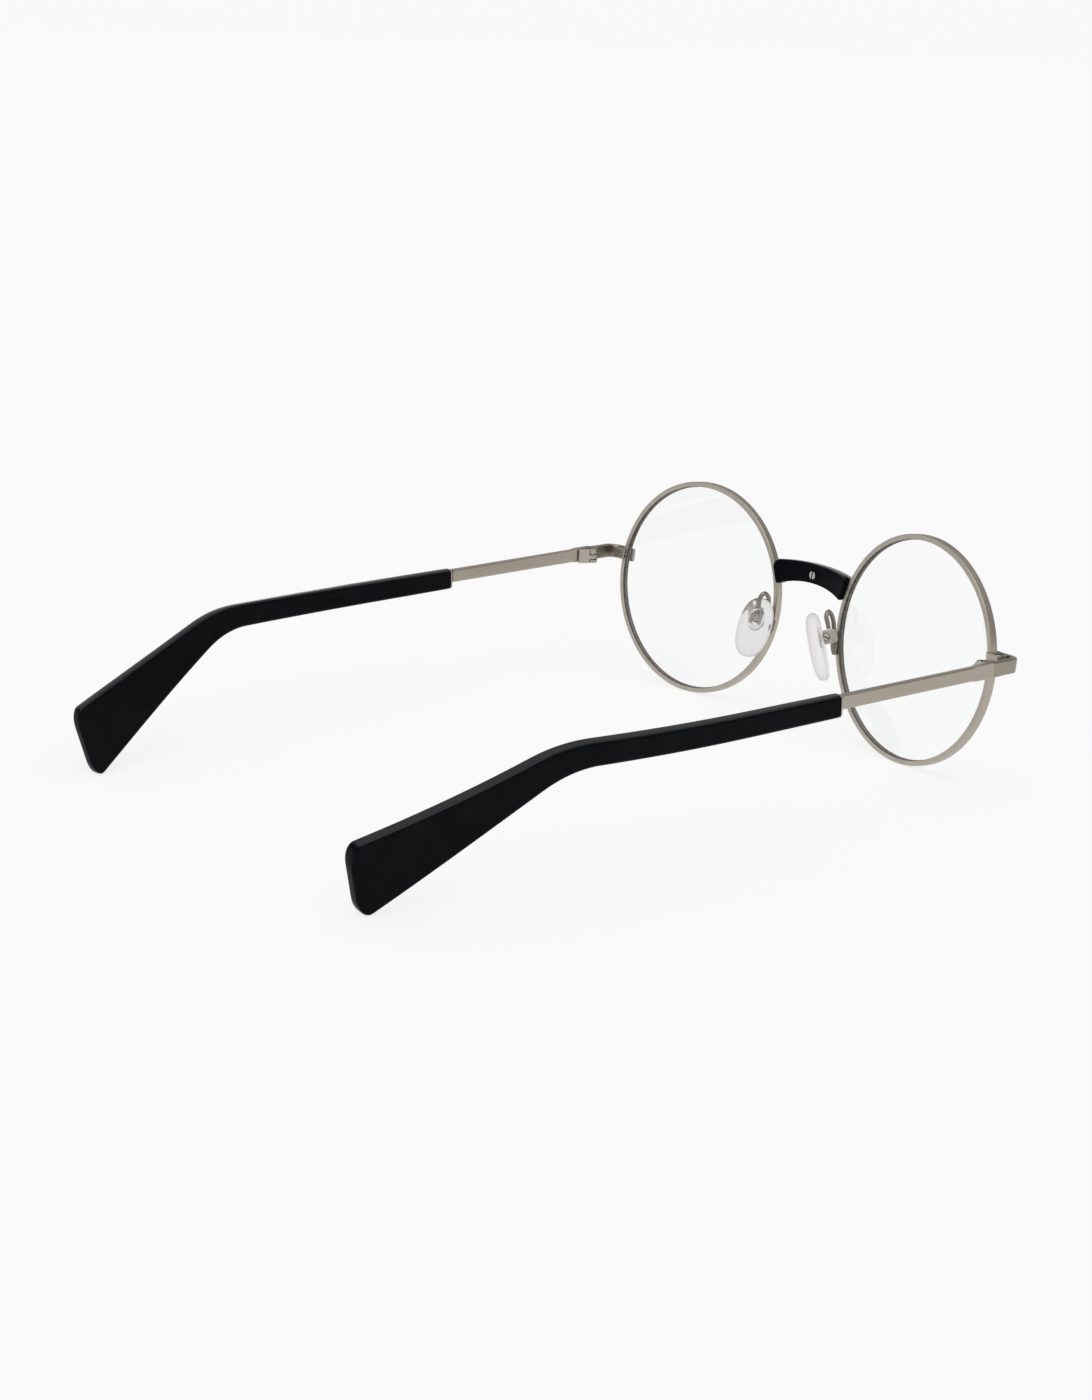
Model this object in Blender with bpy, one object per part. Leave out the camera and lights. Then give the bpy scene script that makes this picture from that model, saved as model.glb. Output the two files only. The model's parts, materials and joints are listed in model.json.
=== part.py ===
"""Round metal eyeglass frame with a lined bridge, screwed nose pads and acetate temple tips.

All sizes are in metres. The frame stands on its rims and temple tips as it would on a table:
+Z is up, the front faces -Y, the temples run back along +Y and +X is the wearer's left.
The front pieces are drawn in the plane of the front, the temple pieces in the frame of their hinge
and the pads in the frame of their screw. Each of these frames is an empty.
"""
from math import acos, asin, atan2, cos, hypot, pi, radians, sin, sqrt, tan

import bmesh
import bpy
from mathutils import Matrix, Vector

# Driving sizes of the fit: lens width, distance between lenses, and length of the temples
LENS_WIDTH = 0.0480
LENS_DISTANCE = 0.0210
TEMPLE_TO_BEND = 0.1055
BEND_TO_END = 0.0435
FACE_WRAP = radians(5.9)

# Clearances: between soldered or seated pieces, and between pieces that turn
SEAT_GAP = 0.00015
RUN_GAP = 0.00015

# Eyewire section
RIM_WALL = 0.00065
RIM_DEPTH = 0.00186
RIM_LIP = 0.00050
GROOVE_HALF_WIDTH = 0.00060
RIM_CHAMFER = 0.00016
RIM_SLIT = 0.00030

# Lens
LENS_CURVE = 0.1180
LENS_THICKNESS = 0.0013
LENS_EDGE = 0.0009
LENS_LAND = 0.00060

# Bridge: metal bar in front and acetate lining behind it
BRIDGE_HEIGHT = 0.00954
BRIDGE_BOW_RADIUS = 0.0500
BRIDGE_FRONT = 0.00435
BRIDGE_BAR_THICKNESS = 0.0010
BRIDGE_BAR_EDGE = 0.00020
SADDLE_THICKNESS = 0.00150
SADDLE_EDGE = 0.00035

# Upper and lower edges of bar and lining: height in the middle, radius and radius of the corners
BAR_UPPER_EDGE = (0.01205, 0.0660, 0.0005)
BAR_LOWER_EDGE = (0.0083, 0.0260, 0.0005)
SADDLE_UPPER_EDGE = (0.0122, 0.0560, 0.0023)
SADDLE_LOWER_EDGE = (0.0077, 0.0340, 0.0006)

# Screws: shaft radius, head radius, head thickness and slot
BRIDGE_SCREW = (0.00050, 0.00092, 0.00045)
LOCK_SCREW = (0.00045, 0.00078, 0.00035)
HINGE_SCREW = (0.00050, 0.00080, 0.00035)
PAD_SCREW = (0.00034, 0.00075, 0.00030)
SLOT_WIDTH = 0.00025
SLOT_DEPTH = 0.00018

# Hinge axis in the plane of the front, and how the temple leaves it
HINGE_BEYOND_RIM = 0.0031
HINGE_BACK = 0.0101
HINGE_HEIGHT = 0.00285
TEMPLE_PITCH = radians(6.15)
TEMPLE_TOE_IN = radians(1.11)
KNUCKLE_RADIUS = 0.00115
KNUCKLE_TOP = 0.00125
KNUCKLE_MIDDLE = 0.00095
KNUCKLE_BOTTOM = 0.0008
HINGE_DROP = 0.0002
BUTT_LEAD = 0.0009
FRONT_LEAF_LENGTH = 0.0023
TEMPLE_LEAF_LENGTH = 0.0034
LEAF_END = 0.00035

# End piece: flat band from the front of the rim round to the hinge
END_PIECE_HEIGHT = 0.0032
END_PIECE_DROP = 0.0001
END_PIECE_THICKNESS = 0.0013
END_PLATE_THICKNESS = 0.00085
END_PIECE_CORNER = 0.0026
END_PIECE_INNER_CORNER = 0.0022
END_TAB_REACH = 0.0006
END_PIECE_EDGE = 0.00020

# Closing blocks of the rim
LOCK_REAR_WING = 0.00050
LOCK_REACH = 0.0026
LOCK_BEVEL = 0.0008
LOCK_WING_INSET = 0.0004
LOCK_SPLIT_DROP = 0.00025
LOCK_LOWER_HEIGHT = 0.00075
LOCK_SCREW_OUT = 0.00140

# Temple bar, ferrule and acetate tip
BAR_THICKNESS = 0.0013
BAR_HEIGHT = 0.0031
BAR_HEAD_HEIGHT = 0.0034
BAR_HEAD_LENGTH = 0.0036
BAR_FLARE_LENGTH = 0.0020
BAR_TO_FERRULE = 0.0411
BAR_EDGE = 0.00022
FERRULE_EDGE = 0.00030
FERRULE_LENGTH = 0.0010
CORE_WIDTH = 0.0009
CORE_HEIGHT = 0.0015
CORE_EDGE = 0.00020
CORE_TO_END = 0.0240
CORE_CLEARANCE = 0.00020
TIP_THICKNESS = 0.0030
TIP_HEIGHT = 0.0045
TIP_HEIGHT_AT_BEND = 0.0050
TIP_DROP = 0.00055
TIP_END_HEIGHT = 0.0154
TIP_WIDEN_POWER = 1.35
TIP_TWIST = radians(7.54)
TIP_END_SLANT = radians(14)
TIP_END_CORNER = 0.0024
TIP_END_BULGE = 1.9
TIP_EDGE = 0.0006
BEND_ANGLE = radians(27.4)
BEND_RADIUS = 0.026
TIP_INWARD_RADIUS = 0.3226
TIP_INWARD_START = 0.0640

# Nose pads
PAD_CENTRE = (0.01042, 0.00391, -0.00436)
PAD_SPLAY = radians(40.0)
PAD_FLARE = radians(18.7)
PAD_RAKE = radians(7.5)
PAD_HEIGHT = 0.0152
PAD_WIDTH = 0.0076
PAD_THICKNESS = 0.0026
PAD_SCREW_OUT = 0.00210
PAD_SCREW_UP = 0.00180
PAD_BACK = 0.00100
PAD_ROUNDNESS = 2.4
CORE_PLATE_HEIGHT = 0.0052
CORE_PLATE_WIDTH = 0.0034
CORE_PLATE_THICKNESS = 0.00055
BOX_LENGTH = 0.0029
BOX_HEIGHT = 0.0031
BOX_WIDTH = 0.0026
BOX_FRONT = 0.0006
TONGUE_WIDTH = 0.0009
TONGUE_RADIUS = 0.00080
ARM_RADIUS = 0.00050
ARM_LOOP_HEIGHT = 0.0037
ARM_LOOP_WIDTH = 0.00098
ARM_FOOT_LENGTH = 0.0038
ARM_FOOT_WIDTH = 0.00095
ARM_FOOT_OUT = -0.00020
ARM_FOOT_THICKNESS = 0.00040

# Mesh fineness
RIM_STEPS = 88
LENS_STEPS = 64
ROUND_STEPS = 20

# Sizes worked out from the ones above
LENS_RADIUS = LENS_WIDTH / 2
LENS_CENTRE = (LENS_WIDTH + LENS_DISTANCE) / 2
GROOVE_RADIUS = LENS_RADIUS + SEAT_GAP
RIM_RADIUS = GROOVE_RADIUS + RIM_WALL
RIM_OPENING = GROOVE_RADIUS - RIM_LIP
HINGE_OUT = LENS_CENTRE + RIM_RADIUS + HINGE_BEYOND_RIM
KNUCKLE_TOTAL = KNUCKLE_TOP + KNUCKLE_MIDDLE + KNUCKLE_BOTTOM + 2 * RUN_GAP
LEAF_SEAT = KNUCKLE_RADIUS
BAR_INNER = LEAF_SEAT + SEAT_GAP
BAR_OFFSET = BAR_INNER + BAR_THICKNESS / 2
END_SLOPE_START = 2 * RIM_DEPTH
END_HEIGHT = HINGE_HEIGHT - END_PIECE_DROP + (HINGE_BACK - END_SLOPE_START) * tan(TEMPLE_PITCH)
TIP_START = BAR_TO_FERRULE + SEAT_GAP + FERRULE_LENGTH + SEAT_GAP
TEMPLE_LENGTH = TEMPLE_TO_BEND + BEND_TO_END


def clear_scene():
    for item in list(bpy.data.objects):
        bpy.data.objects.remove(item, do_unlink=True)


def material(name, colour, roughness, metallic=0.0, transmission=0.0):
    """A Principled material; transmission is for the clear plastics."""
    made = bpy.data.materials.new(name)
    made.use_nodes = True
    shader = made.node_tree.nodes["Principled BSDF"]
    shader.inputs["Base Color"].default_value = (*colour, 1.0)
    shader.inputs["Roughness"].default_value = roughness
    shader.inputs["Metallic"].default_value = metallic
    shader.inputs["Transmission Weight"].default_value = transmission
    made.diffuse_color = (*colour, 1.0)
    return made


def empty(name, parent=None, location=(0, 0, 0), rotation=(0, 0, 0)):
    made = bpy.data.objects.new(name, None)
    made.location = location
    made.rotation_euler = rotation
    made.parent = parent
    made.empty_display_size = LENS_RADIUS / 2
    bpy.context.scene.collection.objects.link(made)
    return made


def add_piece(name, shape, look, parent, side=1):
    """Turn a bmesh drawn for the wearer's left into a named object of the given side."""
    if side < 0:
        bmesh.ops.scale(shape, vec=(-1, 1, 1), verts=shape.verts)
    bmesh.ops.recalc_face_normals(shape, faces=shape.faces)
    mesh = bpy.data.meshes.new(name)
    shape.to_mesh(mesh)
    shape.free()
    mesh.materials.append(look)
    mesh.shade_smooth()
    mesh.set_sharp_from_angle(angle=radians(38))
    made = bpy.data.objects.new(name, mesh)
    made.parent = parent
    bpy.context.scene.collection.objects.link(made)
    return made


def combine(target, others, operation):
    """Apply a Boolean of each other shape to the target, and return the new shape."""
    body = as_object("body", target)
    for other in others:
        tool = as_object("tool", other)
        step = body.modifiers.new("combine", "BOOLEAN")
        step.operation = operation
        step.solver = "EXACT"
        step.object = tool
    bpy.context.view_layer.update()
    result = bmesh.new()
    evaluated = body.evaluated_get(bpy.context.evaluated_depsgraph_get())
    result.from_mesh(evaluated.to_mesh())
    evaluated.to_mesh_clear()
    for step in body.modifiers:
        bpy.data.objects.remove(step.object, do_unlink=True)
    bpy.data.objects.remove(body, do_unlink=True)
    return result


def as_object(name, shape):
    bmesh.ops.recalc_face_normals(shape, faces=shape.faces)
    mesh = bpy.data.meshes.new(name)
    shape.to_mesh(mesh)
    shape.free()
    made = bpy.data.objects.new(name, mesh)
    bpy.context.scene.collection.objects.link(made)
    return made


def loft(loops, closed=False):
    """Skin through loops that have the same number of points; ends are capped unless closed."""
    shape = bmesh.new()
    rings = [[shape.verts.new(point) for point in loop] for loop in loops]
    pairs = list(zip(rings, rings[1:]))
    if closed:
        pairs.append((rings[-1], rings[0]))
    for first, second in pairs:
        for index, corner in enumerate(first):
            after = (index + 1) % len(first)
            shape.faces.new((corner, first[after], second[after], second[index]))
    if not closed:
        shape.faces.new(list(reversed(rings[0])))
        shape.faces.new(rings[-1])
    return shape


def cylinder(radius, start, end, axis="z", centre=(0, 0, 0), steps=ROUND_STEPS):
    """A round bar between two places along an axis."""
    def place(turn, along):
        u = radius * cos(turn)
        v = radius * sin(turn)
        spots = {"x": (along, u, v), "y": (u, along, v), "z": (u, v, along)}
        return Vector(spots[axis]) + Vector(centre)

    turns = [2 * pi * step / steps for step in range(steps)]
    return loft([[place(turn, along) for turn in turns] for along in (start, end)])


def block(low, high):
    """A box between two corners."""
    loops = []
    for z in (low[2], high[2]):
        loops.append([(low[0], low[1], z), (high[0], low[1], z), (high[0], high[1], z), (low[0], high[1], z)])
    return loft(loops)


def edged_rectangle(width, height, edge):
    """Corner points of a rectangle with its four edges broken, as (across, up) pairs."""
    w = width / 2
    h = height / 2
    edge = min(edge, 0.45 * width, 0.45 * height)
    return [(w, -h + edge), (w, h - edge), (w - edge, h), (edge - w, h),
            (-w, h - edge), (-w, edge - h), (edge - w, -h), (w - edge, -h)]


def rounding(distance, radius):
    """How far a round corner draws in at a distance from the end it closes."""
    if distance >= radius:
        return 0.0
    return radius - sqrt(radius ** 2 - (radius - distance) ** 2)


def smooth_path(points, pieces):
    """Points on a smooth curve through the given ones, with so many pieces between each two."""
    knots = [Vector(point) for point in points]
    knots = [2 * knots[0] - knots[1]] + knots + [2 * knots[-1] - knots[-2]]
    path = []
    for a, b, c, d in zip(knots, knots[1:], knots[2:], knots[3:]):
        for step in range(pieces):
            t = step / pieces
            path.append(0.5 * (2 * b + (c - a) * t + (2 * a - 5 * b + 4 * c - d) * t ** 2
                               + (3 * b - a - 3 * c + d) * t ** 3))
    path.append(knots[-2])
    return path


def screw(sizes, length, axis="z", slot_turn=0.0):
    """A slotted screw whose head lies outside 0 and whose shaft runs to -length."""
    shaft, head, thickness = sizes
    turns = [2 * pi * step / ROUND_STEPS for step in range(ROUND_STEPS)]
    outline = [(shaft * 0.8, -length), (shaft, 0.15 * shaft - length), (shaft, 0.0), (head, 0.0),
               (head, thickness * 0.7), (head * 0.86, thickness)]
    body = loft([[(r * cos(turn), r * sin(turn), z) for turn in turns] for r, z in outline])
    slot = block((-2 * head, -SLOT_WIDTH / 2, thickness - SLOT_DEPTH),
                 (2 * head, SLOT_WIDTH / 2, 2 * thickness))
    bmesh.ops.rotate(slot, cent=(0, 0, 0), matrix=Matrix.Rotation(slot_turn, 3, "Z"), verts=slot.verts)
    made = combine(body, [slot], "DIFFERENCE")
    if axis == "y":
        bmesh.ops.rotate(made, cent=(0, 0, 0), matrix=Matrix.Rotation(-pi / 2, 3, "X"), verts=made.verts)
    return made


def moved(shape, offset):
    bmesh.ops.translate(shape, vec=offset, verts=shape.verts)
    return shape


def rim_span(height):
    """Reach of the rim's outside from the lens centre at a height above it, with the seat gap."""
    return sqrt((RIM_RADIUS + SEAT_GAP) ** 2 - height ** 2)


def lock_split_height():
    """Height of the slit where the rim opens to take its lens."""
    return END_HEIGHT - LOCK_SPLIT_DROP


def rim():
    """Eyewire with a V groove, open at the closing blocks."""
    half = RIM_DEPTH / 2
    edge = RIM_CHAMFER
    section = [(RIM_RADIUS - edge, -half), (RIM_RADIUS, edge - half), (RIM_RADIUS, half - edge),
               (RIM_RADIUS - edge, half), (RIM_OPENING, half), (RIM_OPENING, GROOVE_HALF_WIDTH),
               (GROOVE_RADIUS, 0.0), (RIM_OPENING, -GROOVE_HALF_WIDTH), (RIM_OPENING, -half)]
    middle = asin(lock_split_height() / RIM_RADIUS)
    half_slit = RIM_SLIT / 2 / RIM_RADIUS
    sweep = 2 * pi - 2 * half_slit
    loops = []
    for step in range(RIM_STEPS + 1):
        turn = middle + half_slit + sweep * step / RIM_STEPS
        loops.append([(r * cos(turn), y, r * sin(turn)) for r, y in section])
    return loft(loops)


def lens():
    """Curved clear lens with a bevelled edge that sits in the groove."""
    def sag(radius):
        return LENS_CURVE - sqrt(LENS_CURVE ** 2 - radius ** 2)

    land = LENS_RADIUS - LENS_LAND
    rings = [0.12, 0.4, 0.7, 1.0]
    edge = LENS_EDGE / 2
    middle = LENS_THICKNESS - LENS_EDGE
    outline = [(land * share, sag(land * share) - sag(land) - edge - middle * (1 - share ** 2))
               for share in rings]
    outline.append((LENS_RADIUS, 0.0))
    outline += [(land * share, sag(land * share) - sag(land) + edge) for share in reversed(rings)]
    turns = [2 * pi * step / LENS_STEPS for step in range(LENS_STEPS)]
    return loft([[(r * cos(turn), y, r * sin(turn)) for turn in turns] for r, y in outline])


def bridge_loops(front, thickness, upper, lower, edge, steps=20):
    """Sections of an arched strip between the rims, bowed forward in its middle.

    Each of the strip's edges, upper and lower, is its height, its radius and the radius of its corners.
    """
    top_height, top_radius, top_corner = upper
    low_height, low_radius, low_corner = lower
    half_span = LENS_CENTRE - rim_span(BRIDGE_HEIGHT)
    loops = []
    for step in range(steps + 1):
        share = -cos(pi * step / steps)
        reach = half_span * abs(share)
        top = top_height - top_radius + sqrt(top_radius ** 2 - reach ** 2)
        top -= rounding(half_span - reach, top_corner)
        low = low_height - low_radius + sqrt(low_radius ** 2 - reach ** 2)
        low += rounding(half_span - reach, low_corner)
        top_end = share * (LENS_CENTRE - rim_span(top))
        low_end = share * (LENS_CENTRE - rim_span(low))
        loop = []
        for out, up in edged_rectangle(thickness, top - low, edge):
            rise = up / (top - low) + 0.5
            across = low_end + (top_end - low_end) * rise
            depth = across ** 2 / (2 * BRIDGE_BOW_RADIUS) - front + thickness / 2 + out
            loop.append((across, depth, low + (top - low) * rise))
        loops.append(loop)
    return loops


def bridge_bar():
    """Metal strip soldered between the rims, with a blind thread for the bridge screw."""
    body = loft(bridge_loops(BRIDGE_FRONT, BRIDGE_BAR_THICKNESS, BAR_UPPER_EDGE, BAR_LOWER_EDGE,
                             BRIDGE_BAR_EDGE))
    rear = BRIDGE_BAR_THICKNESS - BRIDGE_FRONT
    thread = cylinder(BRIDGE_SCREW[0] + SEAT_GAP, rear - 0.7 * BRIDGE_BAR_THICKNESS, rear + SADDLE_THICKNESS,
                      "y", (0, 0, BRIDGE_HEIGHT))
    return combine(body, [thread], "DIFFERENCE")


def saddle_front():
    return BRIDGE_FRONT - BRIDGE_BAR_THICKNESS - SEAT_GAP


def bridge_saddle():
    """Acetate lining of the bridge, with a seat for the screw's head."""
    body = loft(bridge_loops(saddle_front(), SADDLE_THICKNESS, SADDLE_UPPER_EDGE, SADDLE_LOWER_EDGE,
                             SADDLE_EDGE))
    front = -saddle_front()
    rear = front + SADDLE_THICKNESS
    hole = cylinder(BRIDGE_SCREW[0] + SEAT_GAP, front - SADDLE_THICKNESS, rear + SADDLE_THICKNESS,
                    "y", (0, 0, BRIDGE_HEIGHT))
    seat = cylinder(BRIDGE_SCREW[1] + SEAT_GAP, bridge_screw_seat() - SEAT_GAP, rear + SADDLE_THICKNESS,
                    "y", (0, 0, BRIDGE_HEIGHT))
    return combine(body, [hole, seat], "DIFFERENCE")


def bridge_screw_seat():
    """Depth in the front's frame at which the head's underside lies."""
    return SADDLE_THICKNESS - saddle_front() - BRIDGE_SCREW[2] - SEAT_GAP


def bridge_screw():
    length = bridge_screw_seat() + BRIDGE_FRONT - BRIDGE_BAR_THICKNESS + 0.6 * BRIDGE_BAR_THICKNESS
    made = screw(BRIDGE_SCREW, length, "y", radians(80))
    return moved(made, (0, bridge_screw_seat(), BRIDGE_HEIGHT))


def lock_plan(height):
    """Plan of a closing block in the eyewire's frame: outside the rim, with a wing behind it."""
    inner = rim_span(height)
    outer = RIM_RADIUS + LOCK_REACH
    wing = sqrt((RIM_OPENING + LOCK_WING_INSET) ** 2 - height ** 2)
    rear = RIM_DEPTH / 2 + SEAT_GAP
    back = rear + LOCK_REAR_WING
    front = SEAT_GAP - RIM_DEPTH / 2
    return [(wing, back), (outer - LOCK_BEVEL, back), (outer, back - LOCK_BEVEL), (outer, front),
            (inner, front), (inner, rear), (wing, rear)]


def lock_block(low, high, screw_radius, head_radius=None):
    """One closing block, bored for its screw, with a seat for the head where one is given."""
    levels = [low + (high - low) * step / 3 for step in range(4)]
    body = loft([[(x, y, z) for x, y in lock_plan(z)] for z in levels])
    centre = lock_screw_place()
    tools = [cylinder(screw_radius + SEAT_GAP, low - RIM_DEPTH, high + RIM_DEPTH, "z", centre)]
    if head_radius:
        tools.append(cylinder(head_radius + SEAT_GAP, lock_screw_seat() - SEAT_GAP, high + RIM_DEPTH, "z",
                              centre))
    return combine(body, tools, "DIFFERENCE")


def lock_screw_place():
    return (RIM_RADIUS + LOCK_SCREW_OUT, 0.15 * RIM_DEPTH, 0.0)


def lock_top():
    return END_HEIGHT + END_PIECE_HEIGHT / 2 - SEAT_GAP


def lock_bottom():
    return lock_split_height() - RIM_SLIT / 2 - LOCK_LOWER_HEIGHT


def lock_screw_seat():
    return lock_top() - LOCK_SCREW[2] - SEAT_GAP


def lock_upper():
    return lock_block(lock_split_height() + RIM_SLIT / 2, lock_top(), LOCK_SCREW[0], LOCK_SCREW[1])


def lock_lower():
    return lock_block(lock_bottom(), lock_split_height() - RIM_SLIT / 2, LOCK_SCREW[0])


def lock_screw():
    x, y, _ = lock_screw_place()
    made = screw(LOCK_SCREW, lock_screw_seat() - lock_bottom(), "z", radians(25))
    return moved(made, (x, y, lock_screw_seat()))


def front_plane(out):
    """Depth of the eyewire's middle plane at a distance out from the centre line."""
    return (out - LENS_CENTRE) * tan(FACE_WRAP)


def corner_arc(corner, before, after, radius, steps=6):
    """Points of a fillet at a corner between two unit directions that lead away from it."""
    half = before.angle(after) / 2
    centre = corner + (before + after).normalized() * radius / sin(half)
    start = corner + before * radius / tan(half) - centre
    end = corner + after * radius / tan(half) - centre
    turn = start.angle_signed(end)
    points = []
    for step in range(steps + 1):
        angle = -turn * step / steps
        points.append(centre + Vector((start.x * cos(angle) - start.y * sin(angle),
                                       start.x * sin(angle) + start.y * cos(angle))))
    return points


def end_piece_plan():
    """Pairs of outer and inner points of the band, from its tab to the hinge."""
    plate_rear = -RIM_DEPTH / 2 - SEAT_GAP
    plate_front = plate_rear - END_PLATE_THICKNESS
    tab = LENS_CENTRE + RIM_OPENING * cos(FACE_WRAP) - END_TAB_REACH
    side_inner = HINGE_OUT + BAR_INNER
    side_outer = side_inner + END_PIECE_THICKNESS
    along = Vector((-cos(FACE_WRAP), -sin(FACE_WRAP)))
    back = Vector((0.0, 1.0))

    def on_plate(out, offset):
        return Vector((out, front_plane(out) + offset / cos(FACE_WRAP)))

    outer = [on_plate(tab, plate_front)]
    outer += corner_arc(on_plate(side_outer, plate_front), along, back, END_PIECE_CORNER)
    inner = [on_plate(tab, plate_rear)]
    inner += corner_arc(on_plate(side_inner, plate_rear), along, back, END_PIECE_INNER_CORNER)
    end = HINGE_BACK - BUTT_LEAD - RUN_GAP
    outer.append(Vector((side_outer, end)))
    inner.append(Vector((side_inner, end)))
    return outer, inner


def end_piece():
    """Band that carries the hinge, soldered to the front of the rim above its slit."""
    outer, inner = end_piece_plan()
    loops = []
    for far, near in zip(outer, inner):
        loop = []
        for across, up in edged_rectangle((far - near).length, END_PIECE_HEIGHT, END_PIECE_EDGE):
            place = near + (far - near) * (across / (far - near).length + 0.5)
            level = END_HEIGHT - max(0.0, place.y - END_SLOPE_START) * tan(TEMPLE_PITCH)
            loop.append((place.x, place.y, level + up))
        loops.append(loop)
    return loft(loops)


def leaf(length, notches, head_seat):
    """Hinge leaf: a barrel and a base that tapers from it, cut down to its knuckles by the notches."""
    radius = KNUCKLE_RADIUS
    neck = radius - LEAF_END
    steps = 14
    sweep = 2 * pi - atan2(length, neck) - acos(radius / hypot(length, neck))
    plan = [(radius, -length)]
    angles = [sweep * step / steps for step in range(steps + 1)]
    plan += [(radius * cos(angle), radius * sin(angle)) for angle in angles]
    plan.append((neck, -length))
    tools = [block((-2 * radius, -radius - RUN_GAP, low), (2 * radius, 2 * radius, high))
             for low, high in notches]
    tools.append(cylinder(HINGE_SCREW[0] + RUN_GAP, -2 * KNUCKLE_TOTAL, 2 * KNUCKLE_TOTAL))
    if head_seat:
        tools.append(cylinder(HINGE_SCREW[1] + RUN_GAP, hinge_screw_seat() - SEAT_GAP, KNUCKLE_TOTAL))
    half = KNUCKLE_TOTAL / 2
    body = loft([[(x, y, z) for x, y in plan] for z in (-half, half)])
    return moved(combine(body, tools, "DIFFERENCE"), (0, 0, -HINGE_DROP))


def middle_knuckle():
    """Heights between which the temple's knuckle lies."""
    low = KNUCKLE_BOTTOM + RUN_GAP - KNUCKLE_TOTAL / 2
    return low, low + KNUCKLE_MIDDLE


def hinge_front_leaf():
    """Leaf on the end piece, with the top and bottom knuckles and a seat for the screw's head."""
    low, high = middle_knuckle()
    return leaf(FRONT_LEAF_LENGTH, [(low - RUN_GAP, high + RUN_GAP)], True)


def hinge_temple_leaf():
    """Leaf on the temple bar, with the middle knuckle."""
    low, high = middle_knuckle()
    made = leaf(TEMPLE_LEAF_LENGTH, [(-KNUCKLE_TOTAL, low), (high, KNUCKLE_TOTAL)], False)
    bmesh.ops.scale(made, vec=(1, -1, 1), verts=made.verts)
    return made


def hinge_screw_seat():
    return KNUCKLE_TOTAL / 2 - HINGE_SCREW[2] - 0.5 * SEAT_GAP


def hinge_screw():
    made = screw(HINGE_SCREW, hinge_screw_seat() + KNUCKLE_TOTAL / 2, "z", radians(40))
    return moved(made, (0, 0, hinge_screw_seat() - HINGE_DROP))


def temple_point(along):
    """Centre of the temple, its slope and its height at a distance along it from the hinge.

    The temple runs straight to the bend, turns down through an arc and runs straight to its end,
    and it curves in towards the head on the way.
    """
    half_arc = BEND_RADIUS * BEND_ANGLE / 2
    start = TEMPLE_TO_BEND - half_arc
    beyond = along - start
    if beyond <= 0:
        back, drop, slope = along, 0.0, 0.0
    elif beyond < 2 * half_arc:
        slope = beyond / BEND_RADIUS
        back = start + BEND_RADIUS * sin(slope)
        drop = BEND_RADIUS * (1 - cos(slope))
    else:
        slope = BEND_ANGLE
        rest = beyond - 2 * half_arc
        back = start + BEND_RADIUS * sin(slope) + rest * cos(slope)
        drop = BEND_RADIUS * (1 - cos(slope)) + rest * sin(slope)
    inward = max(0.0, back - TIP_INWARD_START) ** 2 / (2 * TIP_INWARD_RADIUS)
    return Vector((BAR_OFFSET - inward, back, -drop - tip_drop(along))), slope


def tip_drop(along):
    """The tip hangs a little below the bar's middle, which shares its top edge."""
    return TIP_DROP if along >= TIP_START else 0.0


def tip_height(along):
    half_arc = BEND_RADIUS * BEND_ANGLE / 2
    start = TEMPLE_TO_BEND - half_arc
    if along <= start:
        share = (along - TIP_START) / (start - TIP_START)
        return TIP_HEIGHT + (TIP_HEIGHT_AT_BEND - TIP_HEIGHT) * share
    share = (along - start) / (TEMPLE_LENGTH - start)
    return TIP_HEIGHT_AT_BEND + (TIP_END_HEIGHT - TIP_HEIGHT_AT_BEND) * share ** TIP_WIDEN_POWER


def temple_section(along, width, height, edge):
    """A section across the temple, square to its slope and more upright towards the end of the tip."""
    centre, slope = temple_point(along)
    slope -= TIP_END_SLANT * max(0.0, (along - TEMPLE_TO_BEND) / BEND_TO_END) ** 2
    up = Vector((0.0, sin(slope), cos(slope)))
    out = Vector((1.0, 0.0, 0.0))
    return [twisted(along, centre + out * a + up * b) for a, b in edged_rectangle(width, height, edge)]


def twisted(along, point):
    """Turn a point of the temple about the bar's line, as the tip twists on its way to the bend."""
    start = TEMPLE_TO_BEND - BEND_RADIUS * BEND_ANGLE / 2
    share = min(1.0, max(0.0, (along - TIP_START) / (start - TIP_START)))
    turn = Matrix.Rotation(TIP_TWIST * share * share * (3 - 2 * share), 3, "Y")
    line = Vector((BAR_OFFSET, 0.0, 0.0))
    return line + turn @ (point - line)


def temple_bar():
    """Flat metal side with a wider head at the hinge and a core wire that runs into the tip."""
    plans = [(-BUTT_LEAD, BAR_THICKNESS, BAR_HEAD_HEIGHT), (BAR_HEAD_LENGTH, BAR_THICKNESS, BAR_HEAD_HEIGHT),
             (BAR_HEAD_LENGTH + BAR_FLARE_LENGTH, BAR_THICKNESS, BAR_HEIGHT),
             (BAR_TO_FERRULE, BAR_THICKNESS, BAR_HEIGHT)]
    loops = [temple_section(along, width, height, BAR_EDGE) for along, width, height in plans]
    end = TEMPLE_LENGTH - CORE_TO_END
    stops = [BAR_TO_FERRULE, TIP_START - SEAT_GAP]
    stops += tip_stops(TIP_START, end)
    loops += [core_section(along, 0.0) for along in stops]
    return loft(loops)


def core_section(along, spare):
    """Section of the core wire, or of its bore when spare is the clearance round it."""
    width = CORE_WIDTH + 2 * spare
    height = CORE_HEIGHT + 2 * spare
    centre, slope = temple_point(along)
    lift = Vector((0.0, 0.0, TIP_DROP if along >= TIP_START else 0.0))
    up = Vector((0.0, sin(slope), cos(slope)))
    out = Vector((1.0, 0.0, 0.0))
    return [twisted(along, centre + lift + out * a + up * b)
            for a, b in edged_rectangle(width, height, CORE_EDGE)]


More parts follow.
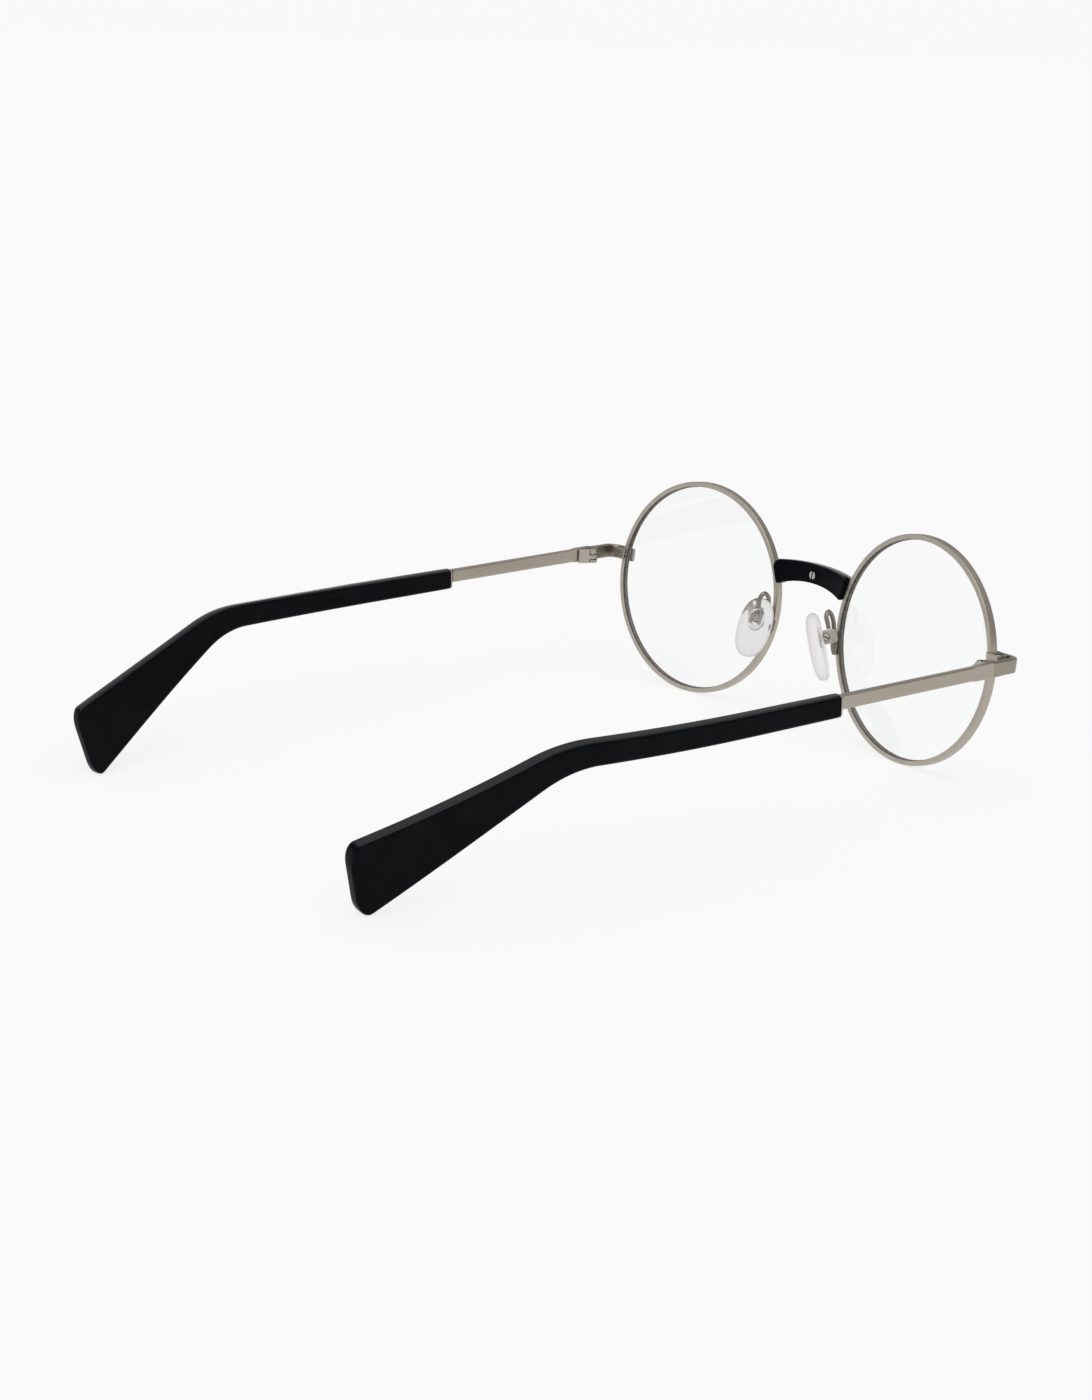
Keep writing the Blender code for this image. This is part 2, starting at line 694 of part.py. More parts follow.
def tip_stops(start, end):
    """Places along the temple for sections: sparse where it is straight and closer in the bend."""
    half_arc = BEND_RADIUS * BEND_ANGLE / 2
    first = TEMPLE_TO_BEND - half_arc
    last = TEMPLE_TO_BEND + half_arc
    stops = [start]
    for low, high, pieces in ((start, first, 5), (first, last, 6), (last, end, 5)):
        top = min(high, end)
        if top > low:
            stops += [low + (top - low) * step / pieces for step in range(1, pieces + 1)]
    return stops


def ferrule():
    """Metal collar between the bar and the acetate, flared out to the acetate's section."""
    start = BAR_TO_FERRULE + SEAT_GAP
    end = start + FERRULE_LENGTH
    centre = temple_point(start)[0]
    loops = []
    for share, swell in ((0.0, 0.0), (0.35, 0.25), (0.6, 0.75), (1.0, 1.0)):
        width = BAR_THICKNESS + (TIP_THICKNESS - BAR_THICKNESS) * swell
        height = BAR_HEIGHT + (TIP_HEIGHT - BAR_HEIGHT) * swell
        shift = Vector((0.0, (end - start) * share, -TIP_DROP * swell))
        section = edged_rectangle(width, height, FERRULE_EDGE)
        loops.append([centre + shift + Vector((a, 0.0, b)) for a, b in section])
    for along in (end, start):
        loops.append(core_section(along, CORE_CLEARANCE))
    return loft(loops, closed=True)


def temple_tip():
    """Acetate tip with a blind bore for the core wire."""
    bore_end = TEMPLE_LENGTH - CORE_TO_END + CORE_CLEARANCE
    loops = [core_section(along, CORE_CLEARANCE) for along in reversed(tip_stops(TIP_START, bore_end))]
    stops = tip_stops(TIP_START, TEMPLE_LENGTH - TIP_END_CORNER)
    ends = [TEMPLE_LENGTH - TIP_END_CORNER * share for share in (0.7, 0.45, 0.25, 0.1, 0.03, 0.0)]
    for along in stops + ends:
        left = TEMPLE_LENGTH - along
        height = tip_height(along) - 2 * TIP_END_BULGE * rounding(left, TIP_END_CORNER)
        width = TIP_THICKNESS - 2 * rounding(left, TIP_EDGE)
        if along == TIP_START:
            height -= TIP_EDGE
            width -= TIP_EDGE
            loops.append(temple_section(along, width, height, TIP_EDGE))
            along += TIP_EDGE / 2
            height += TIP_EDGE
            width += TIP_EDGE
        loops.append(temple_section(along, width, height, TIP_EDGE))
    return loft(loops)


def pad_outline(share, steps=28):
    """Rounded outline of the pad at a share of its full size, as (across, up) pairs."""
    points = []
    for step in range(steps):
        turn = 2 * pi * step / steps
        c = cos(turn)
        s = sin(turn)
        across = abs(c) ** (2 / PAD_ROUNDNESS) * (1 if c >= 0 else -1)
        up = abs(s) ** (2 / PAD_ROUNDNESS) * (1 if s >= 0 else -1)
        points.append((share * across * PAD_WIDTH / 2, share * up * PAD_HEIGHT / 2))
    return points


def nose_pad():
    """Clear soft pad, crowned on the side of the nose, with a pocket for its core."""
    loops = []
    for share, depth in ((0.86, 0.0), (0.96, 0.10), (1.0, 0.35), (0.97, 0.66), (0.84, 0.88), (0.55, 1.0)):
        x = -PAD_BACK - depth * PAD_THICKNESS
        loops.append([(x, a, b - PAD_SCREW_UP) for a, b in pad_outline(share)])
    body = loft(loops)
    pocket = core_plate(SEAT_GAP, -PAD_BACK / 2)
    return combine(body, [pocket], "DIFFERENCE")


def core_plate(spare, outer):
    """Oval plate in the pad's back, or the pocket for it when spare is its clearance."""
    inner = -PAD_BACK - CORE_PLATE_THICKNESS - spare
    width = CORE_PLATE_WIDTH / 2 + spare
    height = CORE_PLATE_HEIGHT / 2 + spare
    turns = [2 * pi * step / ROUND_STEPS for step in range(ROUND_STEPS)]
    return loft([[(x, width * cos(turn), height * sin(turn)) for turn in turns] for x in (inner, outer)])


def pad_core():
    """Hard core of the pad: a plate and a tongue that turns on the pad screw."""
    reach = TONGUE_RADIUS
    side = TONGUE_WIDTH / 2
    outline = [(-PAD_BACK - CORE_PLATE_THICKNESS / 2, -reach)]
    outline += [(reach * sin(pi * step / 10), -reach * cos(pi * step / 10)) for step in range(11)]
    outline.append((-PAD_BACK - CORE_PLATE_THICKNESS / 2, reach))
    tongue = loft([[(x, y, z) for x, z in outline] for y in (-side, side)])
    body = combine(core_plate(0.0, -PAD_BACK - SEAT_GAP / 2), [tongue], "UNION")
    hole = cylinder(PAD_SCREW[0] + RUN_GAP, -BOX_WIDTH, BOX_WIDTH, "y")
    return combine(body, [hole], "DIFFERENCE")


def pad_box():
    """Metal box at the end of the pad arm, slotted for the tongue of the core."""
    radius = BOX_HEIGHT / 2
    centre = BOX_LENGTH - BOX_FRONT - radius
    outline = [(-BOX_FRONT, -radius)]
    outline += [(centre + radius * sin(pi * step / 8), -radius * cos(pi * step / 8)) for step in range(9)]
    outline.append((-BOX_FRONT, radius))
    body = loft([[(x, y, z) for x, z in outline] for y in (-BOX_WIDTH / 2, BOX_WIDTH / 2)])
    gap = TONGUE_WIDTH / 2 + RUN_GAP
    slot = block((-2 * BOX_FRONT, -gap, -BOX_HEIGHT), (TONGUE_RADIUS + RUN_GAP, gap, BOX_HEIGHT))
    hole = cylinder(PAD_SCREW[0] + RUN_GAP, -BOX_WIDTH, BOX_WIDTH, "y")
    seat = cylinder(PAD_SCREW[1] + RUN_GAP, pad_screw_seat() - RUN_GAP, BOX_WIDTH, "y")
    return combine(body, [slot, hole, seat], "DIFFERENCE")


def pad_screw_seat():
    return BOX_WIDTH / 2 - PAD_SCREW[2]


def pad_screw():
    made = screw(PAD_SCREW, pad_screw_seat() + BOX_WIDTH / 2, "y", radians(35))
    return moved(made, (0, pad_screw_seat(), 0))


def pad_frame():
    """Frame of the left pad screw in the plane of the front."""
    turn = (Matrix.Rotation(-PAD_SPLAY, 4, "Z") @ Matrix.Rotation(-PAD_FLARE, 4, "Y")
            @ Matrix.Rotation(PAD_RAKE, 4, "X"))
    place = Vector(PAD_CENTRE) + turn @ Vector((PAD_SCREW_OUT, 0.0, PAD_SCREW_UP))
    return Matrix.Translation(place) @ turn


def pad_arm():
    """Bent wire from a flat foot on the rim, up over a loop and down to the top of the pad box."""
    box = pad_frame()
    foot_height = PAD_CENTRE[2] + PAD_SCREW_UP
    rear = RIM_DEPTH / 2 + SEAT_GAP + ARM_FOOT_THICKNESS

    def on_rim(height):
        angle = asin(height / RIM_RADIUS)
        reach = (RIM_RADIUS + ARM_FOOT_OUT) * cos(angle)
        return Vector((LENS_CENTRE - reach * cos(FACE_WRAP) - rear * sin(FACE_WRAP),
                       rear * cos(FACE_WRAP) - reach * sin(FACE_WRAP), height))

    leg = BOX_LENGTH / 2 - BOX_FRONT
    top = BOX_HEIGHT / 2 + SEAT_GAP
    rise = ARM_LOOP_HEIGHT
    wide = ARM_LOOP_WIDTH
    knots = [on_rim(foot_height - ARM_FOOT_LENGTH * share) for share in (1.0, 0.5, 0.0)]
    knots += [box @ Vector(knot) for knot in (
        (leg + wide, -2.4 * wide, top + 0.25 * rise), (leg + wide, -1.7 * wide, top + 0.75 * rise),
        (leg + 0.55 * wide, -0.5 * wide, top + rise), (leg, 0.2 * wide, top + 0.75 * rise),
        (leg, 0.1 * wide, top + 0.35 * rise), (leg, 0.0, top))]
    path = smooth_path(knots, 3)
    loops = []
    side = Vector((-sin(FACE_WRAP), cos(FACE_WRAP), 0.0))
    for index, place in enumerate(path):
        ahead = path[min(index + 1, len(path) - 1)] - path[max(index - 1, 0)]
        ahead.normalize()
        side = (side - ahead * side.dot(ahead)).normalized()
        across = ahead.cross(side)
        share = min(1.0, index / 6)
        flat = ARM_FOOT_WIDTH + (ARM_RADIUS - ARM_FOOT_WIDTH) * share
        thick = ARM_FOOT_THICKNESS + (ARM_RADIUS - ARM_FOOT_THICKNESS) * share
        loops.append([place + across * flat * cos(2 * pi * step / 8) + side * thick * sin(2 * pi * step / 8)
                      for step in range(8)])
    return loft(loops)


def stand_on_table(root, pieces):
    """Tilt the front until rims and tips touch the table, and centre the part over the origin."""
    def corners():
        bpy.context.view_layer.update()
        for piece in pieces:
            for vertex in piece.data.vertices:
                yield piece.matrix_world @ vertex.co

    split = HINGE_BACK + TIP_START
    for _ in range(4):
        points = list(corners())
        front = min((point for point in points if point.y < split), key=lambda point: point.z)
        rear = min((point for point in points if point.y >= split), key=lambda point: point.z)
        root.rotation_euler.x -= atan2(rear.z - front.z, rear.y - front.y)
    points = list(corners())
    root.location.z -= min(point.z for point in points)
    root.location.y -= (min(point.y for point in points) + max(point.y for point in points)) / 2
    bpy.context.view_layer.update()


def build():
    clear_scene()
    nickel = material("satin_nickel", (0.36, 0.33, 0.295), 0.34, metallic=1.0)
    steel = material("screw_steel", (0.50, 0.48, 0.45), 0.28, metallic=1.0)
    acetate = material("black_acetate", (0.010, 0.010, 0.013), 0.16)
    clear = material("clear_lens", (0.97, 0.98, 0.98), 0.02, transmission=1.0)
    silicone = material("clear_silicone", (0.88, 0.88, 0.88), 0.22, transmission=0.85)
    plastic = material("clear_plastic", (0.80, 0.80, 0.80), 0.10, transmission=0.85)

    front = empty("front_frame")
    pieces = [
        add_piece("bridge_bar", bridge_bar(), nickel, front),
        add_piece("bridge_saddle", bridge_saddle(), acetate, front),
        add_piece("bridge_screw", bridge_screw(), steel, front),
    ]
    for name, side in (("left", 1), ("right", -1)):
        eyewire = empty("eyewire_" + name, front, (side * LENS_CENTRE, 0, 0), (0, 0, side * FACE_WRAP))
        hinge = empty("hinge_axis_" + name, front, (side * HINGE_OUT, HINGE_BACK, HINGE_HEIGHT),
                      (-TEMPLE_PITCH, 0, side * TEMPLE_TOE_IN))
        place = pad_frame().to_translation()
        pivot = empty("pad_axis_" + name, front, (side * place.x, place.y, place.z),
                      (PAD_RAKE, -side * PAD_FLARE, -side * PAD_SPLAY))
        made = [
            ("rim_", rim(), nickel, eyewire), ("lens_", lens(), clear, eyewire),
            ("rim_lock_upper_", lock_upper(), nickel, eyewire),
            ("rim_lock_lower_", lock_lower(), nickel, eyewire),
            ("rim_lock_screw_", lock_screw(), steel, eyewire), ("end_piece_", end_piece(), nickel, front),
            ("hinge_front_leaf_", hinge_front_leaf(), nickel, hinge),
            ("hinge_screw_", hinge_screw(), steel, hinge),
            ("hinge_temple_leaf_", hinge_temple_leaf(), nickel, hinge),
            ("temple_bar_", temple_bar(), nickel, hinge),
            ("temple_ferrule_", ferrule(), nickel, hinge), ("temple_tip_", temple_tip(), acetate, hinge),
            ("pad_arm_", pad_arm(), nickel, front), ("pad_box_", pad_box(), nickel, pivot),
            ("pad_screw_", pad_screw(), steel, pivot), ("pad_core_", pad_core(), plastic, pivot),
            ("nose_pad_", nose_pad(), silicone, pivot),
        ]
        pieces += [add_piece(label + name, shape, look, parent, side) for label, shape, look, parent in made]
    stand_on_table(front, pieces)


build()
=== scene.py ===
"""Looks of a round metal eyeglass frame with an acetate lined bridge, laid out as a Blender add-on.

Lengths are in metres, +Z is up, the front of the frame faces -Y and +X is the wearer's left. Each piece is
drawn for the left side, in the frame of what carries it, and is mirrored for the right side.
"""
import json
from math import acos, asin, atan2, copysign, cos, hypot, pi, radians, sin, sqrt, tan

import bmesh
import bpy
from bpy.props import FloatProperty, FloatVectorProperty, PointerProperty
from bpy.types import Operator, Panel, PropertyGroup
from mathutils import Euler, Matrix, Vector


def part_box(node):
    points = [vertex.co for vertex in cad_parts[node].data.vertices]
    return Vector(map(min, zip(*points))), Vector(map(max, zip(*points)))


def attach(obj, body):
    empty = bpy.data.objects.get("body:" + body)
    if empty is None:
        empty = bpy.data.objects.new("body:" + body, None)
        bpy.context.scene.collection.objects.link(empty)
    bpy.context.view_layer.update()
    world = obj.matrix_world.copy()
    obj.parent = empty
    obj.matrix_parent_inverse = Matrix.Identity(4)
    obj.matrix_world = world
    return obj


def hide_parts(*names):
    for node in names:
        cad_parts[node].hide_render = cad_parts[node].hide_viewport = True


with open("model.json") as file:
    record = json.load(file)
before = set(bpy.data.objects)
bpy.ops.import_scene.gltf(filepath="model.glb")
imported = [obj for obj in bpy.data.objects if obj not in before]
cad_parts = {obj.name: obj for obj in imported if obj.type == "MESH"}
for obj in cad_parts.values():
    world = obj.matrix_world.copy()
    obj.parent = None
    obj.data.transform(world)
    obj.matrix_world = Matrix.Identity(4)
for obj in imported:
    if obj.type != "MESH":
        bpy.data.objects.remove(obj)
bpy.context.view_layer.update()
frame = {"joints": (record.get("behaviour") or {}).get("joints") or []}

bl_info = {
    "name": "Round Eyeglasses",
    "version": (1, 0, 0),
    "blender": (4, 5, 0),
    "location": "3D View > Sidebar > Eyeglasses",
    "description": "Models the pieces, finishes and studio of a round metal eyeglass frame",
    "category": "Object",
}

SIDES = {"left": 1, "right": -1}

# Distances under which points and levels count as the same, in metres
WELD = 1e-7
# Angles from which edges are rounded, from which end faces are, and from which shading breaks
SHARP = radians(32)
END_SHARP = radians(50)
CREASE = radians(34)
# Share of a rectangle's sides that its corners may take, and of a screw's head that its rim is rounded by
FULLEST_CORNER = 0.49
HEAD_ROUNDING = 0.12
# Softness of a band's or bar's end faces as a share of its edges' softness, and of an end cut from wire
BUTT_SOFTNESS = 0.4
CUT_SOFTNESS = 0.0001
# Number of sides of bores, of the wider seats over them and of screws
BORE_SIDES = 40
SEAT_SIDES = 64
SCREW_SIDES = 48
# Bends of a pad arm's loop: out and back in loop widths, up in loop heights, from the box's top
LOOP_BENDS = ((1, -2.4, 0.25), (1, -1.7, 0.75), (0.55, -0.5, 1), (0, 0.2, 0.75), (0, 0.1, 0.35), (0, 0, 0))
# Width of the foot's tip, and what its bulge leaves out of its width, both in wire radii
FOOT_END = 0.4
FOOT_WIRE = 0.7
# Stretch of a pattern that runs alike in every direction, and of one brushed along a temple
EVEN = (1.0, 1.0, 1.0)
BRUSHED = (1.0, 0.04, 1.0)


def size(name, description, default):
    """A length in metres."""
    return FloatProperty(name=name, description=description, default=default, unit="LENGTH", precision=5)


def turn(name, description, degrees):
    return FloatProperty(name=name, description=description, default=radians(degrees), subtype="ANGLE")


def number(name, description, default):
    return FloatProperty(name=name, description=description, default=default)


def tone(name, description, default):
    return FloatVectorProperty(name=name, description=description, default=default, subtype="COLOR",
                               size=3, min=0.0, max=1.0)


class GLASSES_PG_eyewires(PropertyGroup):
    lens_width: size("Lens width", "Diameter of each round lens", 0.0480)
    lens_distance: size("Lens distance", "Shortest distance between the two lenses", 0.0210)
    face_wrap: turn("Face wrap", "How far each eyewire turns back towards its temple", 5.9)
    seat_gap: size("Seat gap", "Clearance between pieces that are seated on each other", 0.00015)
    rim_wall: size("Rim wall", "Metal outside the bottom of the lens groove", 0.00065)
    rim_depth: size("Rim depth", "Front to back size of the eyewire", 0.00186)
    rim_lip: size("Rim lip", "Height of the lips that hold the lens", 0.00050)
    groove_half_width: size("Groove half width", "Half the mouth of the V groove", 0.00060)
    rim_softness: size("Rim softness", "Radius of the rim's polished edges", 0.00015)
    rim_slit: size("Rim slit", "Width of the slit where the rim opens", 0.00012)
    lens_curve: size("Lens curve", "Radius of the lens surfaces", 0.1180)
    lens_thickness: size("Lens thickness", "Thickness in the middle", 0.0013)
    lens_edge: size("Lens edge", "Thickness at the rim", 0.0009)
    lens_land: size("Lens land", "Width of the bevelled edge of the lens", 0.00030)


class GLASSES_PG_bridge(PropertyGroup):
    height: size("Screw height", "Height of the bridge screw above the lens centres", 0.00954)
    bar_top: size("Bar top", "Height of the metal strip's upper edge", 0.01205)
    bar_top_radius: size("Bar top radius", "Radius of that edge", 0.0660)
    bar_low: size("Bar underside", "Height of the strip's lower edge", 0.0083)
    bar_low_radius: size("Bar underside radius", "Radius of that edge", 0.0260)
    bow_radius: size("Bow radius", "Radius of the bridge as seen from above", 0.0500)
    front: size("Front", "How far the bar lies before the lens plane", 0.00435)
    bar_thickness: size("Bar thickness", "Thickness of the metal strip", 0.0010)
    bar_corner: size("Bar corner", "Corner radius at the ends of the strip", 0.0005)
    bar_softness: size("Bar softness", "Radius of the strip's edges", 0.00018)
    lining_top: size("Lining top", "Height of the lining's upper edge", 0.0122)
    lining_top_radius: size("Lining top radius", "Radius of that edge", 0.0560)
    lining_low: size("Lining underside", "Height of the lining's lower edge", 0.0077)
    lining_low_radius: size("Lining underside radius", "Radius of that edge", 0.0340)
    lining_thickness: size("Lining thickness", "Thickness of the acetate lining", 0.0015)
    lining_top_corner: size("Lining top corner", "Radius of its upper corners", 0.0023)
    lining_low_corner: size("Lining low corner", "Radius of its lower corners", 0.0006)
    lining_softness: size("Lining softness", "Radius of its polished edges", 0.00042)
    screw_shaft: size("Screw shaft", "Radius of the shaft", 0.00050)
    screw_head: size("Screw head", "Radius of the head", 0.00092)
    screw_thickness: size("Screw thickness", "Thickness of the head", 0.00045)


class GLASSES_PG_locks(PropertyGroup):
    rear_wing: size("Rear wing", "Thickness of the wing behind the rim", 0.00050)
    reach: size("Reach", "How far a closing block stands out from the rim", 0.0026)
    corner: size("Corner", "Radius of the rear outer corner", 0.0008)
    wing_inset: size("Wing inset", "How far the wing stops before the rim's opening", 0.0004)
    split_drop: size("Split drop", "Height of the slit below the middle of the end piece", 0.00025)
    lower_height: size("Lower height", "Height of the lower block", 0.00075)
    softness: size("Softness", "Radius of the blocks' edges", 0.00009)
    screw_out: size("Screw out", "Place of the screw outside the rim", 0.00140)
    screw_shaft: size("Screw shaft", "Radius of the shaft", 0.00045)
    screw_head: size("Screw head", "Radius of the head", 0.00078)
    screw_thickness: size("Screw thickness", "Thickness of the head", 0.00035)


class GLASSES_PG_end_pieces(PropertyGroup):
    height: size("Height", "Height of the band", 0.0032)
    drop: size("Drop", "How far its middle lies below the hinge's middle", 0.0001)
    thickness: size("Thickness", "Thickness beside the hinge", 0.0013)
    plate_thickness: size("Plate thickness", "Thickness on the front of the rim", 0.00085)
    outer_corner: size("Outer corner", "Outer radius of the turn", 0.0026)
    inner_corner: size("Inner corner", "Inner radius of the turn", 0.0022)
    tab_reach: size("Tab reach", "How far the tab passes the rim's inner edge", 0.0006)
    softness: size("Softness", "Radius of its edges", 0.00038)


class GLASSES_PG_hinges(PropertyGroup):
    beyond_rim: size("Beyond rim", "Distance of the hinge axis outside the rim", 0.0031)
    back: size("Back", "Distance of the hinge axis behind the lens plane", 0.0101)
    height: size("Height", "Height of the hinge above the lens centres", 0.00285)
    pitch: turn("Pitch", "How far the temple points down", 6.15)
    toe_in: turn("Toe-in", "How far the open temple turns inwards", 1.11)
    radius: size("Knuckle radius", "Radius of the knuckles", 0.00115)
    top: size("Top knuckle", "Height of the top knuckle", 0.00125)
    middle: size("Middle knuckle", "Height of the middle knuckle", 0.00095)
    bottom: size("Bottom knuckle", "Height of the bottom knuckle", 0.0008)
    drop: size("Drop", "How far the leaves lie below the temple's middle", 0.0002)
    butt_lead: size("Butt lead", "How far the butt joint lies before the axis", 0.0009)
    front_leaf: size("Front leaf", "Length of the leaf on the end piece", 0.0023)
    temple_leaf: size("Temple leaf", "Length of the leaf on the temple", 0.0034)
    leaf_end: size("Leaf end", "Thickness to which a leaf's base tapers", 0.00035)
    knuckle_gap: size("Knuckle gap", "Visible gap between the knuckles", 0.00024)
    run_gap: size("Running gap", "Clearance between turning pieces", 0.00015)
    softness: size("Softness", "Radius of the leaves' edges", 0.00010)
    butt_gap: size("Butt gap", "Gap where the open temple meets its end piece", 0.00003)
    screw_shaft: size("Screw shaft", "Radius of the shaft", 0.00050)
    screw_head: size("Screw head", "Radius of the head", 0.00080)
    screw_thickness: size("Screw thickness", "Thickness of the head", 0.00035)


class GLASSES_PG_temples(PropertyGroup):
    to_bend: size("To bend", "Length from the hinge to the bend", 0.1055)
    bend_to_end: size("Bend to end", "Length from the bend to the end", 0.0435)
    bar_thickness: size("Bar thickness", "Thickness of the metal bar", 0.0013)
    bar_height: size("Bar height", "Height of the metal bar", 0.0031)
    bar_softness: size("Bar softness", "Radius of the bar's edges", 0.00050)
    head_height: size("Head height", "Height of the bar's head at the hinge", 0.0034)
    head_length: size("Head length", "Length of the head", 0.0036)
    head_start: size("Head start", "Length in which the head grows from the end piece's height", 0.0006)
    head_softness: size("Head softness", "Radius of the head's edges", 0.00030)
    flare_length: size("Flare length", "Length over which the head narrows", 0.0020)
    to_ferrule: size("To ferrule", "Length of the bare bar", 0.0411)
    ferrule_length: size("Ferrule length", "Length of the metal collar", 0.0010)
    core_width: size("Core width", "Width of the core wire", 0.0009)
    core_height: size("Core height", "Height of the core wire", 0.0015)
    core_clearance: size("Core clearance", "Gap round the core wire", 0.0002)
    tip_thickness: size("Tip thickness", "Thickness of the acetate tip", 0.0030)
    tip_height: size("Tip height", "Height of the tip at the ferrule", 0.0045)
    tip_height_at_bend: size("Height at bend", "Height of the tip at the bend", 0.0050)
    tip_drop: size("Tip drop", "How far the tip hangs below the bar's middle", 0.00055)
    tip_end_height: size("End height", "Height of the paddle at its end", 0.0154)
    widen_power: number("Widen power", "How late the paddle widens", 1.35)
    tip_twist: turn("Tip twist", "How far the tip twists on its way to the bend", 7.54)
    end_slant: turn("End slant", "How far the end's edge leans from square", 14)
    end_corner: size("End corner", "Length in which the paddle's end is rounded", 0.0024)
    end_bulge: number("End bulge", "How much higher than long that rounding is", 1.9)
    tip_softness: size("Tip softness", "Radius of the tip's polished edges", 0.00085)
    bend_angle: turn("Bend angle", "How far the tip bends down", 27.4)
    bend_radius: size("Bend radius", "Radius of the bend", 0.026)
    inward_radius: size("Inward radius", "Radius of the tip's curve towards the head", 0.3226)
    inward_start: size("Inward start", "Where that curve starts behind the hinge", 0.0640)


class GLASSES_PG_pads(PropertyGroup):
    out: size("Out", "Distance of the pad's back from the middle", 0.01042)
    back: size("Back", "Distance of the pad behind the lens plane", 0.00391)
    low: size("Low", "How far the pad's middle lies below the lens centres", 0.00436)
    splay: turn("Splay", "Turn of the pad towards the face", 40.0)
    flare: turn("Flare", "Lean of the pad away from the nose", 18.7)
    rake: turn("Rake", "Tilt of the pad's long axis", 7.5)
    height: size("Height", "Height of the soft pad", 0.0152)
    width: size("Width", "Width of the soft pad", 0.0076)
    thickness: size("Thickness", "Thickness of the soft pad", 0.0031)
    screw_out: size("Screw out", "Distance of the screw from the pad's back plane", 0.00210)
    screw_up: size("Screw up", "Height of the screw above the pad's middle", 0.00180)
    skin: size("Skin", "Distance from the screw's plane to the soft back", 0.00100)
    roundness: number("Roundness", "Exponent of the pad's rounded outline", 2.4)
    plate_height: size("Plate height", "Height of the hard core plate", 0.0052)
    plate_width: size("Plate width", "Width of the hard core plate", 0.0034)
    plate_thickness: size("Plate thickness", "Thickness of the core plate", 0.00055)
    box_length: size("Box length", "Length of the pad box", 0.0029)
    box_height: size("Box height", "Height of the pad box", 0.0031)
    box_width: size("Box width", "Width of the pad box", 0.0026)
    box_front: size("Box front", "How far the box reaches before the screw", 0.0006)
    box_corner: size("Box corner", "Radius of its outer corners", 0.00080)
    box_softness: size("Box softness", "Radius of the box's edges", 0.00022)
    tongue_width: size("Tongue width", "Width of the core's tongue", 0.0009)
    tongue_radius: size("Tongue radius", "Radius of the tongue's round end", 0.00080)
    wire: size("Wire", "Radius of the pad arm's wire", 0.00050)
    loop_height: size("Loop height", "Rise of the wire loop above the box", 0.0037)
    loop_width: size("Loop width", "Distance between the loop's legs", 0.00098)
    foot_length: size("Foot length", "Length of the soldered foot", 0.0038)
    foot_width: size("Foot width", "Half width of the foot", 0.00105)
    foot_out: size("Foot out", "How far the foot's middle lies outside the rim", -0.00020)
    foot_thickness: size("Foot thickness", "Half thickness of the foot", 0.00040)
    screw_shaft: size("Screw shaft", "Radius of the shaft", 0.00034)
    screw_head: size("Screw head", "Radius of the head", 0.00075)
    screw_thickness: size("Screw thickness", "Thickness of the head", 0.00030)


class GLASSES_PG_finishes(PropertyGroup):
    nickel: tone("Nickel", "Colour of the satin plated metal", (0.485, 0.44, 0.38))
    nickel_shade: tone("Nickel shade", "Darker tone in the plating", (0.415, 0.37, 0.315))
    brushed: tone("Brushed", "Colour of the brushed bars", (0.44, 0.395, 0.335))
    brushed_shade: tone("Brushed shade", "Darker tone in the brushing", (0.38, 0.335, 0.28))
    band: tone("Band", "Colour of the end pieces", (0.345, 0.31, 0.255))
    band_shade: tone("Band shade", "Darker tone in their brushing", (0.29325, 0.2635, 0.21675))
    arm: tone("Arm", "Colour of the plating on the wire arms", (0.27, 0.235, 0.205))
    arm_shade: tone("Arm shade", "Darker tone in that plating", (0.216, 0.188, 0.164))
    # Painted shade: a darker tone for the plating in grooves, slots and cuts and on the rims' inner walls,
    # where shade falls
    recess: tone("Recess", "Colour of the plating in grooves, slots and cuts", (0.15, 0.14, 0.12))
    recess_shade: tone("Recess shade", "Darker tone in that plating", (0.12, 0.112, 0.096))
    steel: tone("Steel", "Colour of the screws", (0.56, 0.53, 0.49))
    steel_shade: tone("Steel shade", "Darker tone in the steel", (0.476, 0.4505, 0.4165))
    acetate: tone("Acetate", "Colour of the black acetate", (0.0030, 0.0034, 0.0046))
    acetate_cloud: tone("Acetate cloud", "Paler tone inside the acetate", (0.0048, 0.0053, 0.0068))
    lens: tone("Lens", "Tint of the clear lenses", (0.985, 0.99, 0.99))
    edge: tone("Edge", "Colour of the ground edges of the lenses", (0.22, 0.21, 0.19))
    edge_shade: tone("Edge shade", "Darker tone in the grinding", (0.176, 0.168, 0.152))
    silicone: tone("Silicone", "Colour of the clear pads", (0.87, 0.855, 0.855))
    # Painted shade: the pads' colour towards their outline, where they turn from view
    silicone_painted_edge_shade: tone("Silicone edge", "Colour of the clear pads at their outline", (0.42, 0.40, 0.40))
    plastic: tone("Plastic", "Colour of the pads' clear cores", (0.88, 0.87, 0.87))
    slot_width: size("Slot width", "Width of every screw slot", 0.00025)
    slot_depth: size("Slot depth", "Depth of every screw slot", 0.00018)


class GLASSES_PG_studio(PropertyGroup):
    backdrop: number("Backdrop", "Brightness of the backdrop, where 1 is white", 0.947)
    floor_size: size("Floor size", "Width of the floor", 40.0)
    floor_glow: number("Floor glow", "Share of the floor's brightness that no shadow dims", 0.82)
    floor_level: number("Floor level", "Brightness of that share, where 1 is white", 0.981)
    upper_level: number("Upper level", "Brightness of the walls between the backdrop and the soft box", 0.32)
    key_strength: number("Key strength", "Strength of the soft light from above", 1.1)
    fill_strength: number("Fill strength", "Strength of the soft light from the side", 0.35)
    camera_place: FloatVectorProperty(
        name="Camera place", description="Where the camera stands", subtype="TRANSLATION",
        default=(-0.37731, 0.29966, 0.14964))
    camera_turn: FloatVectorProperty(
        name="Camera turn", description="How the camera is turned", subtype="EULER",
        default=(radians(74.5305), radians(-1.8742), radians(-128.138)))
    focal_length: number("Focal length", "Focal length for a 36 mm frame, in millimetres", 62.10)


def group(name):
    """One of the scene's property groups, such as the sizes of the eyewires."""
    return getattr(bpy.context.scene, "glasses_" + name)


def seat_gap():
    return group("eyewires").seat_gap


